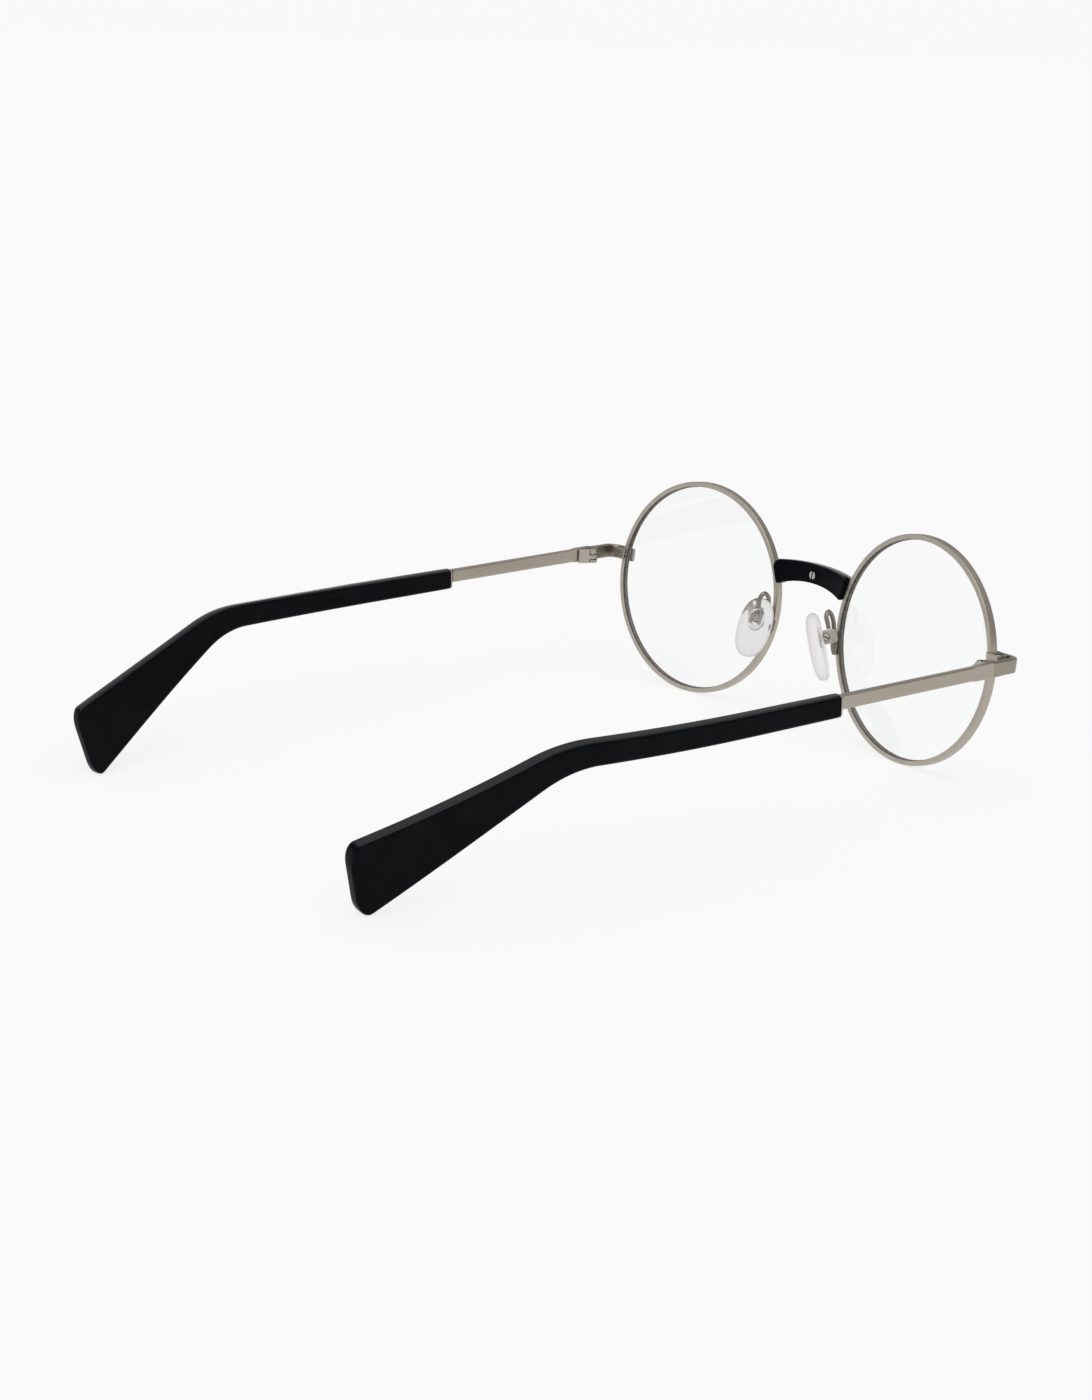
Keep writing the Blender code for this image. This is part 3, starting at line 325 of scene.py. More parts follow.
def lens_centre():
    wires = group("eyewires")
    return (wires.lens_width + wires.lens_distance) / 2


def groove_radius():
    wires = group("eyewires")
    return wires.lens_width / 2 + wires.seat_gap


def rim_radius():
    return groove_radius() + group("eyewires").rim_wall


def rim_opening():
    return groove_radius() - group("eyewires").rim_lip


def rim_span(height):
    """Reach of the rim's outside from the lens centre at a height above it, with the seat gap."""
    return sqrt((rim_radius() + seat_gap()) ** 2 - height ** 2)


def hinge_turn():
    hinges = group("hinges")
    return Euler((-hinges.pitch, 0.0, hinges.toe_in)).to_matrix()


def front_frame():
    """Frame of the front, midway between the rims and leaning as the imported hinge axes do."""
    corners = [*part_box("rim_left"), *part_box("rim_right")]
    middle = sum(corners, Vector()) / len(corners)
    drawn = hinge_turn() @ Vector((0.0, 0.0, 1.0))
    stood = Vector(next(joint["axis"] for joint in frame["joints"] if joint["name"] == "temple_fold_left"))
    lean = atan2(-stood.y, stood.z) - atan2(-drawn.y, drawn.z)
    return Matrix.Translation(middle) @ Matrix.Rotation(lean, 4, "X")


def eyewire_frame():
    return Matrix.Translation((lens_centre(), 0, 0)) @ Matrix.Rotation(group("eyewires").face_wrap, 4, "Z")


def hinge_out():
    return lens_centre() + rim_radius() + group("hinges").beyond_rim


def hinge_frame():
    hinges = group("hinges")
    return Matrix.Translation((hinge_out(), hinges.back, hinges.height)) @ hinge_turn().to_4x4()


def pad_frame():
    """Frame of the left pad screw in the plane of the front."""
    pads = group("pads")
    facing = (Matrix.Rotation(-pads.splay, 4, "Z") @ Matrix.Rotation(-pads.flare, 4, "Y")
              @ Matrix.Rotation(pads.rake, 4, "X"))
    middle = Vector((pads.out, pads.back, -pads.low))
    place = middle + facing @ Vector((pads.screw_out, 0.0, pads.screw_up))
    return Matrix.Translation(place) @ facing


def rounding(distance, radius):
    """How far a round corner draws in at a distance from the end that it closes."""
    if distance >= radius:
        return 0.0
    return radius - sqrt(radius ** 2 - (radius - max(0.0, distance)) ** 2)


def between(low, high, share):
    return low + (high - low) * share


def eased(share):
    return share * share * (3 - 2 * share)


def spread(low, high, pieces):
    """Evenly spaced values from low to high."""
    return [low + (high - low) * step / pieces for step in range(pieces + 1)]


def rounded_rectangle(width, height, radius, steps=5):
    """A rectangle with arcs for corners, as (across, up) pairs in turning order."""
    radius = min(radius, FULLEST_CORNER * width, FULLEST_CORNER * height)
    points = []
    for quarter, (right, over) in enumerate(((1, 1), (-1, 1), (-1, -1), (1, -1))):
        for step in range(steps + 1):
            angle = pi / 2 * (quarter + step / steps)
            points.append((right * (width / 2 - radius) + radius * cos(angle),
                           over * (height / 2 - radius) + radius * sin(angle)))
    return points


def smooth_path(points, pieces):
    """Points on a smooth curve through the given ones, with so many pieces between each two."""
    knots = [Vector(point) for point in points]
    knots = [2 * knots[0] - knots[1]] + knots + [2 * knots[-1] - knots[-2]]
    path = []
    for a, b, c, d in zip(knots, knots[1:], knots[2:], knots[3:]):
        for t in spread(0, 1, pieces)[:-1]:
            path.append(0.5 * (2 * b + (c - a) * t + (2 * a - 5 * b + 4 * c - d) * t ** 2
                               + (3 * b - a - 3 * c + d) * t ** 3))
    path.append(knots[-2])
    return path


def face_outwards(shape):
    bmesh.ops.recalc_face_normals(shape, faces=shape.faces)


def moved(shape, offset):
    bmesh.ops.translate(shape, verts=shape.verts, vec=offset)
    return shape


def turned(shape, degrees, axis):
    matrix = Matrix.Rotation(radians(degrees), 3, axis)
    bmesh.ops.rotate(shape, verts=shape.verts, cent=(0, 0, 0), matrix=matrix)
    return shape


def extrude_face(shape, face, shift=(0, 0, 0)):
    """Extrude a face, move the new one by the shift and return it."""
    made = bmesh.ops.extrude_face_region(shape, geom=[face])
    end = next(item for item in made["geom"] if isinstance(item, bmesh.types.BMFace))
    bmesh.ops.translate(shape, verts=end.verts, vec=shift)
    return end


def draw_out(rings):
    """A solid made by extruding a face through rings of points, with both ends closed."""
    shape = bmesh.new()
    first = end = shape.faces.new([shape.verts.new(point) for point in rings[0]])
    for ring in rings[1:]:
        passed, end = end, extrude_face(shape, end)
        if passed is not first:
            shape.faces.remove(passed)
        for vert, point in zip(end.verts, ring):
            vert.co = point
    face_outwards(shape)
    return shape


def prism(outline, half_width):
    """A solid of one outline of (x, z) pairs, between two places along Y."""
    return draw_out([[(x, y, z) for x, z in outline] for y in (-half_width, half_width)])


def round_edges(shape, edges, width, segments):
    bmesh.ops.bevel(shape, geom=edges, offset=width, offset_type="OFFSET", segments=segments, profile=0.5,
                    affect="EDGES", clamp_overlap=True, material=-1)


def soften(shape, width, least_angle=SHARP, segments=3, spared=None):
    """Round every edge that is sharper than an angle, but for those whose middle the spared test picks."""
    face_outwards(shape)
    sharp = [edge for edge in shape.edges if edge.is_manifold and abs(edge.calc_face_angle()) > least_angle]
    if spared:
        sharp = [edge for edge in sharp if not spared((edge.verts[0].co + edge.verts[1].co) / 2)]
    round_edges(shape, sharp, width, segments)


def round_bar(radius, start, end, axis="z", centre=(0, 0, 0), sides=BORE_SIDES):
    """A cylinder between two places along an axis."""
    shape = bmesh.new()
    bmesh.ops.create_cone(shape, cap_ends=True, segments=sides, radius1=radius, radius2=radius,
                          depth=end - start)
    moved(shape, (0, 0, (start + end) / 2))
    if axis == "y":
        turned(shape, -90, "X")
    return moved(shape, centre)


def box_between(low, high):
    shape = bmesh.new()
    bmesh.ops.create_cube(shape, size=1.0)
    bmesh.ops.scale(shape, verts=shape.verts, vec=Vector(high) - Vector(low))
    return moved(shape, (Vector(high) + Vector(low)) / 2)


def add_object(name, data):
    made = bpy.data.objects.new(name, data)
    bpy.context.scene.collection.objects.link(made)
    return made


def mesh_object(name, shape):
    """An object whose mesh is the drawn shape, with its faces outwards."""
    face_outwards(shape)
    mesh = bpy.data.meshes.new(name)
    shape.to_mesh(mesh)
    shape.free()
    return add_object(name, mesh)


def mark_painted_shade(faces):
    """Give faces the second material of a metal piece, which paints shade on them."""
    for face in faces:
        face.material_index = 1


def combine(target, others, operation="DIFFERENCE", paint_cut_shade=False):
    """The target with the others cut out of it, or joined to it; its flag marks the faces of the cuts for the
    second material, which paints shade in them.
    """
    if paint_cut_shade:
        for other in others:
            mark_painted_shade(other.faces)
    body = mesh_object("body", target)
    tools = [mesh_object("tool", other) for other in others]
    for item in [body, *tools]:
        item.data.materials.append(None)
        item.data.materials.append(None)
    for tool in tools:
        step = body.modifiers.new("combine", "BOOLEAN")
        step.operation = operation
        step.solver = "EXACT"
        step.object = tool
    bpy.context.view_layer.update()
    evaluated = body.evaluated_get(bpy.context.evaluated_depsgraph_get())
    result = bmesh.new()
    result.from_mesh(evaluated.to_mesh())
    evaluated.to_mesh_clear()
    for item in [body, *tools]:
        mesh = item.data
        bpy.data.objects.remove(item, do_unlink=True)
        bpy.data.meshes.remove(mesh)
    return result


def slotted_screw(sizes, length, slot_turn, axis="z", slot_share=1.0):
    """A screw of a group's sizes, with its slotted head on 0 and its shaft down to -length."""
    head = sizes.screw_head
    half_slot = slot_share * group("finishes").slot_width / 2
    slot_depth = slot_share * group("finishes").slot_depth
    slot_floor = sizes.screw_thickness - slot_depth

    def top_faces(level):
        return [face for face in shape.faces if abs(face.calc_center_median().z - level) < WELD]

    shape = bmesh.new()
    bmesh.ops.create_circle(shape, cap_ends=True, segments=SCREW_SIDES, radius=head)
    under = shape.faces[:][0]
    top = extrude_face(shape, under, (0, 0, slot_floor))
    bmesh.ops.inset_region(shape, faces=[under], thickness=head - sizes.screw_shaft, use_even_offset=True)
    extrude_face(shape, under, (0, 0, -length))
    level = top.calc_center_median().z
    for side in (-half_slot, half_slot):
        tops = top_faces(level)
        edges = {edge for face in tops for edge in face.edges}
        verts = {vert for face in tops for vert in face.verts}
        bmesh.ops.bisect_plane(shape, geom=[*tops, *edges, *verts], plane_co=(0, side, 0), plane_no=(0, 1, 0))
    cheeks = [face for face in top_faces(level) if abs(face.calc_center_median().y) > half_slot]
    lifted = bmesh.ops.extrude_face_region(shape, geom=cheeks)
    verts = [item for item in lifted["geom"] if isinstance(item, bmesh.types.BMVert)]
    bmesh.ops.translate(shape, verts=verts, vec=(0, 0, slot_depth))
    # Painted shade on the slot's floor and walls
    mark_painted_shade(face for face in shape.faces if face.calc_center_median().z > slot_floor - WELD
                and abs(face.calc_center_median().y) < half_slot + WELD)
    rims = [edge for edge in shape.edges if all(vert in verts for vert in edge.verts)]
    face_outwards(shape)
    round_edges(shape, rims, HEAD_ROUNDING * head, 3)
    turned(shape, slot_turn, "Z")
    if axis == "y":
        turned(shape, -90, "X")
    return shape


def turned_outline(outline, start, sweep, steps, whole):
    """Spin an outline of (reach, depth) pairs about the lens axis."""
    shape = bmesh.new()
    verts = [shape.verts.new((r * cos(start), y, r * sin(start))) for r, y in outline]
    if whole:
        geometry = [*verts, *[shape.edges.new(pair) for pair in zip(verts, verts[1:])]]
    else:
        face = shape.faces.new(verts)
        geometry = [*verts, *face.edges, face]
    bmesh.ops.spin(shape, geom=geometry, cent=(0, 0, 0), axis=(0, -1, 0), dvec=(0, 0, 0), angle=sweep,
                   steps=steps, use_merge=whole, use_duplicate=False)
    bmesh.ops.remove_doubles(shape, verts=shape.verts, dist=WELD)
    return shape


def slope_start():
    """Depth behind the lens plane from which an end piece slopes down to its hinge."""
    return 2 * group("eyewires").rim_depth


def end_height():
    """Height of the end piece's middle on the front."""
    hinges = group("hinges")
    return hinges.height - group("end_pieces").drop + (hinges.back - slope_start()) * tan(hinges.pitch)


def split_height():
    """Height of the slit where the rim opens to take its lens."""
    return end_height() - group("locks").split_drop


def rim_shape(steps=220, least_inward=0.3):
    """Eyewire with a V groove, open at the closing blocks; its inward faces get the second material, which
    paints shade in the groove and on the inner wall.
    """
    wires = group("eyewires")
    half = wires.rim_depth / 2
    opening = rim_opening()
    mouth = wires.groove_half_width
    outline = [(rim_radius(), -half), (rim_radius(), half), (opening, half), (opening, mouth),
               (groove_radius(), 0.0), (opening, -mouth), (opening, -half)]
    middle = asin(split_height() / rim_radius())
    half_slit = wires.rim_slit / 2 / rim_radius()
    shape = turned_outline(outline, middle + half_slit, 2 * pi - 2 * half_slit, steps, False)
    soften(shape, wires.rim_softness)
    # Painted shade: the inward faces of the groove and inner wall take the darker second material
    for face in shape.faces:
        centre = face.calc_center_median()
        if face.normal.dot(Vector((centre.x, 0.0, centre.z)).normalized()) < -least_inward:
            face.material_index = 1
    return shape


def lens_shape(rings=14, steps=160):
    """Curved clear lens with a bevelled edge that sits in the groove."""
    wires = group("eyewires")
    radius = wires.lens_width / 2
    land = radius - wires.lens_land
    half = wires.lens_edge / 2
    spare = wires.lens_thickness - wires.lens_edge

    def sag(share):
        """How far a surface falls back from the edge of its land, at a share of its reach."""
        curve = wires.lens_curve
        return (curve - sqrt(curve ** 2 - (land * share) ** 2)) - (curve - sqrt(curve ** 2 - land ** 2))

    shares = spread(0, 1, rings)
    front = [(land * share, sag(share) - half - spare * (1 - share ** 2)) for share in shares]
    rear = [(land * share, sag(share) + half) for share in reversed(shares)]
    shape = turned_outline([*front, (radius, 0.0), *rear], 0.0, 2 * pi, steps, True)
    for face in shape.faces:
        centre = face.calc_center_median()
        if Vector((centre.x, centre.z)).length > land:
            face.material_index = 1
    return shape


def arched_strip(front, thickness, upper, lower, softness, rear_round, steps=72):
    """A strip that arches between the rims and bows forward, with its rear ends rounded.

    Each edge, upper and lower, is its height in the middle, its radius and the radius of its corners.
    """
    bridge = group("bridge")
    half_span = lens_centre() - rim_span(bridge.height)

    def edge_height(edge, reach, fall):
        height, radius, corner = edge
        return height - radius + sqrt(radius ** 2 - reach ** 2) + fall * rounding(half_span - reach, corner)

    rings = []
    for angle in spread(0, pi, steps):
        share = -cos(angle)
        reach = half_span * abs(share)
        top = edge_height(upper, reach, -1)
        low = edge_height(lower, reach, 1)
        ends = [share * (lens_centre() - rim_span(height)) for height in (low, top)]
        thick = thickness - rounding(half_span - reach, rear_round)
        ring = []
        for out, up in rounded_rectangle(thick, top - low, softness):
            rise = up / (top - low) + 0.5
            across = between(*ends, rise)
            depth = across ** 2 / (2 * bridge.bow_radius) - front + thick / 2 + out
            ring.append((across, depth, between(low, top, rise)))
        rings.append(ring)
    return draw_out(rings)


def bridge_bar_shape():
    """Metal strip soldered between the rims."""
    bridge = group("bridge")
    upper = (bridge.bar_top, bridge.bar_top_radius, bridge.bar_corner)
    lower = (bridge.bar_low, bridge.bar_low_radius, bridge.bar_corner)
    return arched_strip(bridge.front, bridge.bar_thickness, upper, lower, bridge.bar_softness, 0.0)


def lining_front():
    bridge = group("bridge")
    return bridge.front - bridge.bar_thickness - seat_gap()


def bridge_screw_seat():
    """Depth at which the underside of the bridge screw's head lies."""
    bridge = group("bridge")
    return bridge.lining_thickness - lining_front() - bridge.screw_thickness - seat_gap()


def lining_shape():
    """Polished acetate lining with a countersunk seat for its screw."""
    bridge = group("bridge")
    upper = (bridge.lining_top, bridge.lining_top_radius, bridge.lining_top_corner)
    lower = (bridge.lining_low, bridge.lining_low_radius, bridge.lining_low_corner)
    body = arched_strip(lining_front(), bridge.lining_thickness, upper, lower, bridge.lining_softness,
                        bridge.lining_softness)
    far = 2 * bridge.lining_thickness
    tools = [round_bar(radius + seat_gap(), start, far, "y", (0, 0, bridge.height), SEAT_SIDES)
             for radius, start in ((bridge.screw_shaft, -lining_front() - far),
                                   (bridge.screw_head, bridge_screw_seat() - seat_gap()))]
    return combine(body, tools)


def bridge_screw_shape(short_of_front=1.1):
    """Screw from behind, which ends so many thicknesses of the bar behind the bar's front."""
    bridge = group("bridge")
    length = bridge_screw_seat() + bridge.front - short_of_front * bridge.bar_thickness
    made = slotted_screw(bridge, length, 86, "y", slot_share=1.5)
    return moved(made, (0, bridge_screw_seat(), bridge.height))


def lock_plan(height):
    """Plan of a closing block: outside the rim, round at its rear corner, with a wing behind the rim."""
    wires = group("eyewires")
    locks = group("locks")
    inner = rim_span(height)
    outer = rim_radius() + locks.reach
    wing = sqrt((rim_opening() + locks.wing_inset) ** 2 - height ** 2)
    rear = wires.rim_depth / 2 + wires.seat_gap
    back = rear + locks.rear_wing
    near = wires.seat_gap - wires.rim_depth / 2
    corner = [(outer - locks.corner * (1 - sin(angle)), back - locks.corner * (1 - cos(angle)))
              for angle in spread(0, pi / 2, 6)]
    return [(wing, back), *corner, (outer, near), (inner, near), (inner, rear), (wing, rear)]


def lock_block(low, high, seated=False):
    """One closing block, bored for its screw and, where it is seated, for the screw's head."""
    locks = group("locks")
    body = draw_out([[(x, y, z) for x, y in lock_plan(z)] for z in spread(low, high, 4)])
    soften(body, locks.softness)
    far = group("eyewires").rim_depth
    place = lock_screw_place()
    tools = [round_bar(locks.screw_shaft + seat_gap(), low - far, high + far, "z", place)]
    if seated:
        floor = lock_screw_seat() - seat_gap()
        tools.append(round_bar(locks.screw_head + seat_gap(), floor, high + far, "z", place, SEAT_SIDES))
    # The bores take painted shade
    return combine(body, tools, paint_cut_shade=True)


def lock_screw_place(behind_middle=0.15):
    """Place of the screw's axis, so many rim depths behind the eyewire's middle plane."""
    return (rim_radius() + group("locks").screw_out, behind_middle * group("eyewires").rim_depth, 0.0)


def lock_top():
    return end_height() + group("end_pieces").height / 2 - seat_gap()


def lock_bottom():
    return split_height() - group("eyewires").rim_slit / 2 - group("locks").lower_height


def lock_screw_seat():
    return lock_top() - group("locks").screw_thickness - seat_gap()


def upper_lock_shape():
    return lock_block(split_height() + group("eyewires").rim_slit / 2, lock_top(), seated=True)


def lower_lock_shape():
    return lock_block(lock_bottom(), split_height() - group("eyewires").rim_slit / 2)


def lock_screw_shape():
    made = slotted_screw(group("locks"), lock_screw_seat() - lock_bottom(), 25)
    return moved(made, (*lock_screw_place()[:2], lock_screw_seat()))


def front_plane(out):
    """Depth of the eyewire's middle plane at a distance out from the centre line."""
    return (out - lens_centre()) * tan(group("eyewires").face_wrap)


def corner_arc(corner, before, after, radius, steps=14):
    """Points of a fillet at a corner between two unit directions that lead away from it."""
    half = before.angle(after) / 2
    centre = corner + (before + after).normalized() * radius / sin(half)
    start = corner + before * radius / tan(half) - centre
    end = corner + after * radius / tan(half) - centre
    full = start.angle_signed(end)
    return [centre + Matrix.Rotation(angle, 2) @ start for angle in spread(0, -full, steps)]


def end_piece_plan():
    """Pairs of outer and inner points of the band, from its tab to the hinge."""
    wires = group("eyewires")
    ends = group("end_pieces")
    hinges = group("hinges")
    plate_rear = -wires.rim_depth / 2 - wires.seat_gap
    side_inner = hinge_out() + hinges.radius + wires.seat_gap
    along = Vector((-cos(wires.face_wrap), -sin(wires.face_wrap)))
    tab = lens_centre() - rim_opening() * along.x - ends.tab_reach
    end = hinges.back - hinges.butt_lead - hinges.run_gap

    def on_plate(out, offset):
        return Vector((out, front_plane(out) + offset / cos(wires.face_wrap)))

    def line(plate, side, corner):
        """One face of the band: across the front, round the corner and back along the side."""
        arc = corner_arc(on_plate(side, plate), along, Vector((0.0, 1.0)), corner)
        return [on_plate(tab, plate), *arc, Vector((side, end))]

    return (line(plate_rear - ends.plate_thickness, side_inner + ends.thickness, ends.outer_corner),
            line(plate_rear, side_inner, ends.inner_corner))


def end_piece_shape():
    """Band that carries the hinge, from the front of the rim round the corner to the temple."""
    ends = group("end_pieces")
    hinges = group("hinges")
    rings = []
    for far, near in zip(*end_piece_plan()):
        wide = (far - near).length
        ring = []
        for across, up in rounded_rectangle(wide, ends.height, ends.softness):
            place = near + (far - near) * (across / wide + 0.5)
            slope = tan(hinges.pitch) if place.y > slope_start() else 0.0
            level = end_height() - (place.y - slope_start()) * slope
            ring.append((place.x, place.y + up * slope, level + up))
        rings.append(ring)
    shape = draw_out(rings)
    soften(shape, BUTT_SOFTNESS * ends.softness, END_SHARP, 2, lambda middle: middle.y > hinges.back / 2)
    return shape


def knuckle_total():
    hinges = group("hinges")
    return hinges.top + hinges.middle + hinges.bottom + 2 * hinges.run_gap


def middle_knuckle():
    """Heights between which the temple's knuckle lies."""
    hinges = group("hinges")
    low = hinges.bottom + hinges.run_gap - knuckle_total() / 2
    return low, low + hinges.middle


def hinge_screw_seat():
    return knuckle_total() / 2 - group("hinges").screw_thickness - 0.5 * seat_gap()


def leaf_shape(length, notches, head_seat):
    """Hinge leaf: a barrel and a base that tapers from it, cut down to its knuckles by the notches."""
    hinges = group("hinges")
    radius = hinges.radius
    gap = hinges.run_gap
    neck = radius - hinges.leaf_end
    sweep = 2 * pi - atan2(length, neck) - acos(radius / hypot(length, neck))
    barrel = [(radius * cos(angle), radius * sin(angle)) for angle in spread(0, sweep, 30)]
    plan = [(radius, -length), *barrel, (neck, -length)]
    half = knuckle_total() / 2
    body = draw_out([[(x, y, z) for x, y in plan] for z in (-half, half)])
    soften(body, hinges.softness)
    far = 2 * knuckle_total()
    tools = [box_between((-2 * radius, -radius - gap, low), (2 * radius, 2 * radius, high))
             for low, high in notches]
    tools.append(round_bar(hinges.screw_shaft + gap, -far, far))
    if head_seat:
        floor = hinge_screw_seat() - seat_gap()
        tools.append(round_bar(hinges.screw_head + gap, floor, far, sides=SEAT_SIDES))
    # The notches and bores take painted shade
    return moved(combine(body, tools, paint_cut_shade=True), (0, 0, -hinges.drop))


def front_leaf_shape():
    gap = group("hinges").knuckle_gap
    low, high = middle_knuckle()
    return leaf_shape(group("hinges").front_leaf, [(low - gap, high + gap)], True)


def temple_leaf_shape():
    low, high = middle_knuckle()
    far = knuckle_total()
    made = leaf_shape(group("hinges").temple_leaf, [(-far, low), (high, far)], False)
    bmesh.ops.scale(made, vec=(1, -1, 1), verts=made.verts)
    return made


def hinge_screw_shape():
    made = slotted_screw(group("hinges"), hinge_screw_seat() + knuckle_total() / 2, 40)
    return moved(made, (0, 0, hinge_screw_seat() - group("hinges").drop))


def tip_start():
    temples = group("temples")
    return temples.to_ferrule + temples.ferrule_length + 2 * seat_gap()


def temple_length():
    return group("temples").to_bend + group("temples").bend_to_end


def bar_offset():
    """Distance of the temple's middle outside the hinge axis."""
    return group("hinges").radius + seat_gap() + group("temples").bar_thickness / 2


def bend_start():
    temples = group("temples")
    return temples.to_bend - temples.bend_radius * temples.bend_angle / 2


def temple_point(along):
    """Centre of the temple and its slope at a distance along it: straight, an arc down, straight again."""
    temples = group("temples")
    beyond = along - bend_start()
    slope = min(max(0.0, beyond / temples.bend_radius), temples.bend_angle)
    rest = max(0.0, beyond - temples.bend_radius * temples.bend_angle)
    back = min(along, bend_start()) + temples.bend_radius * sin(slope) + rest * cos(slope)
    drop = temples.bend_radius * (1 - cos(slope)) + rest * sin(slope)
    inward = max(0.0, back - temples.inward_start) ** 2 / (2 * temples.inward_radius)
    hang = temples.tip_drop if along >= tip_start() else 0.0
    return Vector((bar_offset() - inward, back, -drop - hang)), slope


def tip_height(along):
    temples = group("temples")
    if along <= bend_start():
        share = (along - tip_start()) / (bend_start() - tip_start())
        return between(temples.tip_height, temples.tip_height_at_bend, share)
    share = (along - bend_start()) / (temple_length() - bend_start())
    return between(temples.tip_height_at_bend, temples.tip_end_height, share ** temples.widen_power)


def temple_section(along, width, height, softness):
    """A rounded section across the temple, more upright towards the end of the tip."""
    temples = group("temples")
    centre, slope = temple_point(along)
    slope -= temples.end_slant * max(0.0, (along - temples.to_bend) / temples.bend_to_end) ** 2
    up = Vector((0.0, sin(slope), cos(slope)))
    out = Vector((1.0, 0.0, 0.0))
    return [twisted(along, centre + out * a + up * b) for a, b in rounded_rectangle(width, height, softness)]


def twisted(along, point):
    """Turn a point of the temple about the bar's line, as the tip twists on its way to the bend."""
    share = min(1.0, max(0.0, (along - tip_start()) / (bend_start() - tip_start())))
    line = Vector((bar_offset(), 0.0, 0.0))
    return line + Matrix.Rotation(group("temples").tip_twist * eased(share), 3, "Y") @ (point - line)


def temple_bar_shape(steps=8):
    """Flat metal side: a taller head at the hinge that narrows into the bar, and the start of its core."""
    temples = group("temples")
    hinges = group("hinges")
    ends = group("end_pieces")
    thick = temples.bar_thickness
    lead = hinges.butt_lead + hinges.run_gap - hinges.butt_gap
    meet = temple_section(-lead, thick, ends.height, ends.softness)
    rings = [[point - Vector((0.0, 0.0, ends.drop)) for point in meet]]
    rings.append(temple_section(temples.head_start - lead, thick, temples.head_height, temples.head_softness))
    for share in spread(0, 1, steps):
        along = temples.head_length + temples.flare_length * share
        height = between(temples.head_height, temples.bar_height, eased(share))
        softness = between(temples.head_softness, temples.bar_softness, eased(share))
        rings.append(temple_section(along, thick, height, softness))
    rings.append(temple_section(temples.to_ferrule, thick, temples.bar_height, temples.bar_softness))
    rings += [core_section(along, 0.0) for along in (temples.to_ferrule, tip_start() - seat_gap() / 2)]
    shape = draw_out(rings)
    soften(shape, BUTT_SOFTNESS * temples.head_softness, END_SHARP, 2, lambda middle: middle.y < 0.0)
    return shape


def core_section(along, spare):
    """Section of the core wire, or of the bore round it when spare is its clearance."""
    temples = group("temples")
    centre = temple_point(min(along, temples.to_ferrule))[0]
    centre.y = along
    section = rounded_rectangle(temples.core_width + 2 * spare, temples.core_height + 2 * spare,
                                temples.core_clearance)
    return [centre + Vector((a, 0.0, b)) for a, b in section]


def ferrule_shape(steps=8, flared_by=0.75):
    """Metal collar between the bar and the acetate, flared out to the acetate's section by a share of it."""
    temples = group("temples")
    start = temples.to_ferrule + seat_gap()
    reach = temples.ferrule_length
    rings = []
    for share in spread(0, 1, steps):
        swell = eased(min(1.0, share / flared_by))
        section = rounded_rectangle(between(temples.bar_thickness, temples.tip_thickness, swell),
                                    between(temples.bar_height, temples.tip_height, swell),
                                    between(temples.bar_softness, temples.tip_softness, swell))
        shift = temple_point(start)[0] + Vector((0.0, reach * share, -temples.tip_drop * swell))
        rings.append([shift + Vector((a, 0.0, b)) for a, b in section])
    body = draw_out(rings)
    soften(body, CUT_SOFTNESS / 2, END_SHARP, 2)
    bore = [core_section(along, temples.core_clearance) for along in (start - reach, start + 2 * reach)]
    return combine(body, [draw_out(bore)])


def tip_stops():
    """Places of the tip's sections: sparse where it is straight, closer in the bend and at the ends."""
    temples = group("temples")
    lead = BUTT_SOFTNESS * temples.tip_softness
    stops = [tip_start() + lead * (1 - cos(angle)) for angle in spread(0, pi / 2, 4)]
    bend_end = 2 * temples.to_bend - bend_start()
    limits = [stops.pop(), bend_start(), bend_end, temple_length() - temples.end_corner]
    for low, high, pieces in zip(limits, limits[1:], (14, 16, 14)):
        stops += spread(low, high, pieces)[:-1]
    rounded = [temples.end_corner * (1 - sin(angle)) for angle in spread(0, pi / 2, 12)]
    return stops + [temple_length() - left for left in rounded]


def tip_shape():
    """Polished acetate tip that bends down behind the ear and widens to a paddle."""
    temples = group("temples")
    rings = []
    for along in tip_stops():
        lead = rounding(along - tip_start(), BUTT_SOFTNESS * temples.tip_softness)
        left = temple_length() - along
        height = tip_height(along) - 2 * temples.end_bulge * rounding(left, temples.end_corner) - 2 * lead
        width = temples.tip_thickness - 2 * rounding(left, temples.tip_softness) - 2 * lead
        rings.append(temple_section(along, width, height, temples.tip_softness))
    return draw_out(rings)


def pad_outline(share, steps=72):
    """Rounded outline of the pad at a share of its full size, as (across, up) pairs."""
    pads = group("pads")
    half_sizes = share * pads.width / 2, share * pads.height / 2
    points = []
    for angle in spread(0, 2 * pi, steps)[:-1]:
        points.append([half * copysign(abs(part) ** (2 / pads.roundness), part)
                       for half, part in zip(half_sizes, (cos(angle), sin(angle)))])
    return points


def pad_profile(back_share=0.86, shoulder=0.35, crown=3.2, tip_share=0.08):
    """Shares of the pad's outline and of its thickness, in pairs: a short flank, then the rounded crown."""
    flank = [(between(back_share, 1, sin(angle)), shoulder * (1 - cos(angle)))
             for angle in spread(0, pi / 2, 6)]
    top = [(cos(angle) ** (2 / crown), between(shoulder, 1, sin(angle) ** (2 / crown)))
           for angle in spread(0, pi / 2, 12)]
    return flank[:-1] + top[:-1] + [(tip_share, 1.0)]


def pad_shape():
    """Clear soft pad, crowned on the side of the nose, with a pocket for its core."""
    pads = group("pads")
    rings = [[(-pads.skin - depth * pads.thickness, a, b - pads.screw_up) for a, b in pad_outline(share)]
             for share, depth in pad_profile()]
    return combine(draw_out(rings), [core_plate(seat_gap(), -pads.skin / 2)])


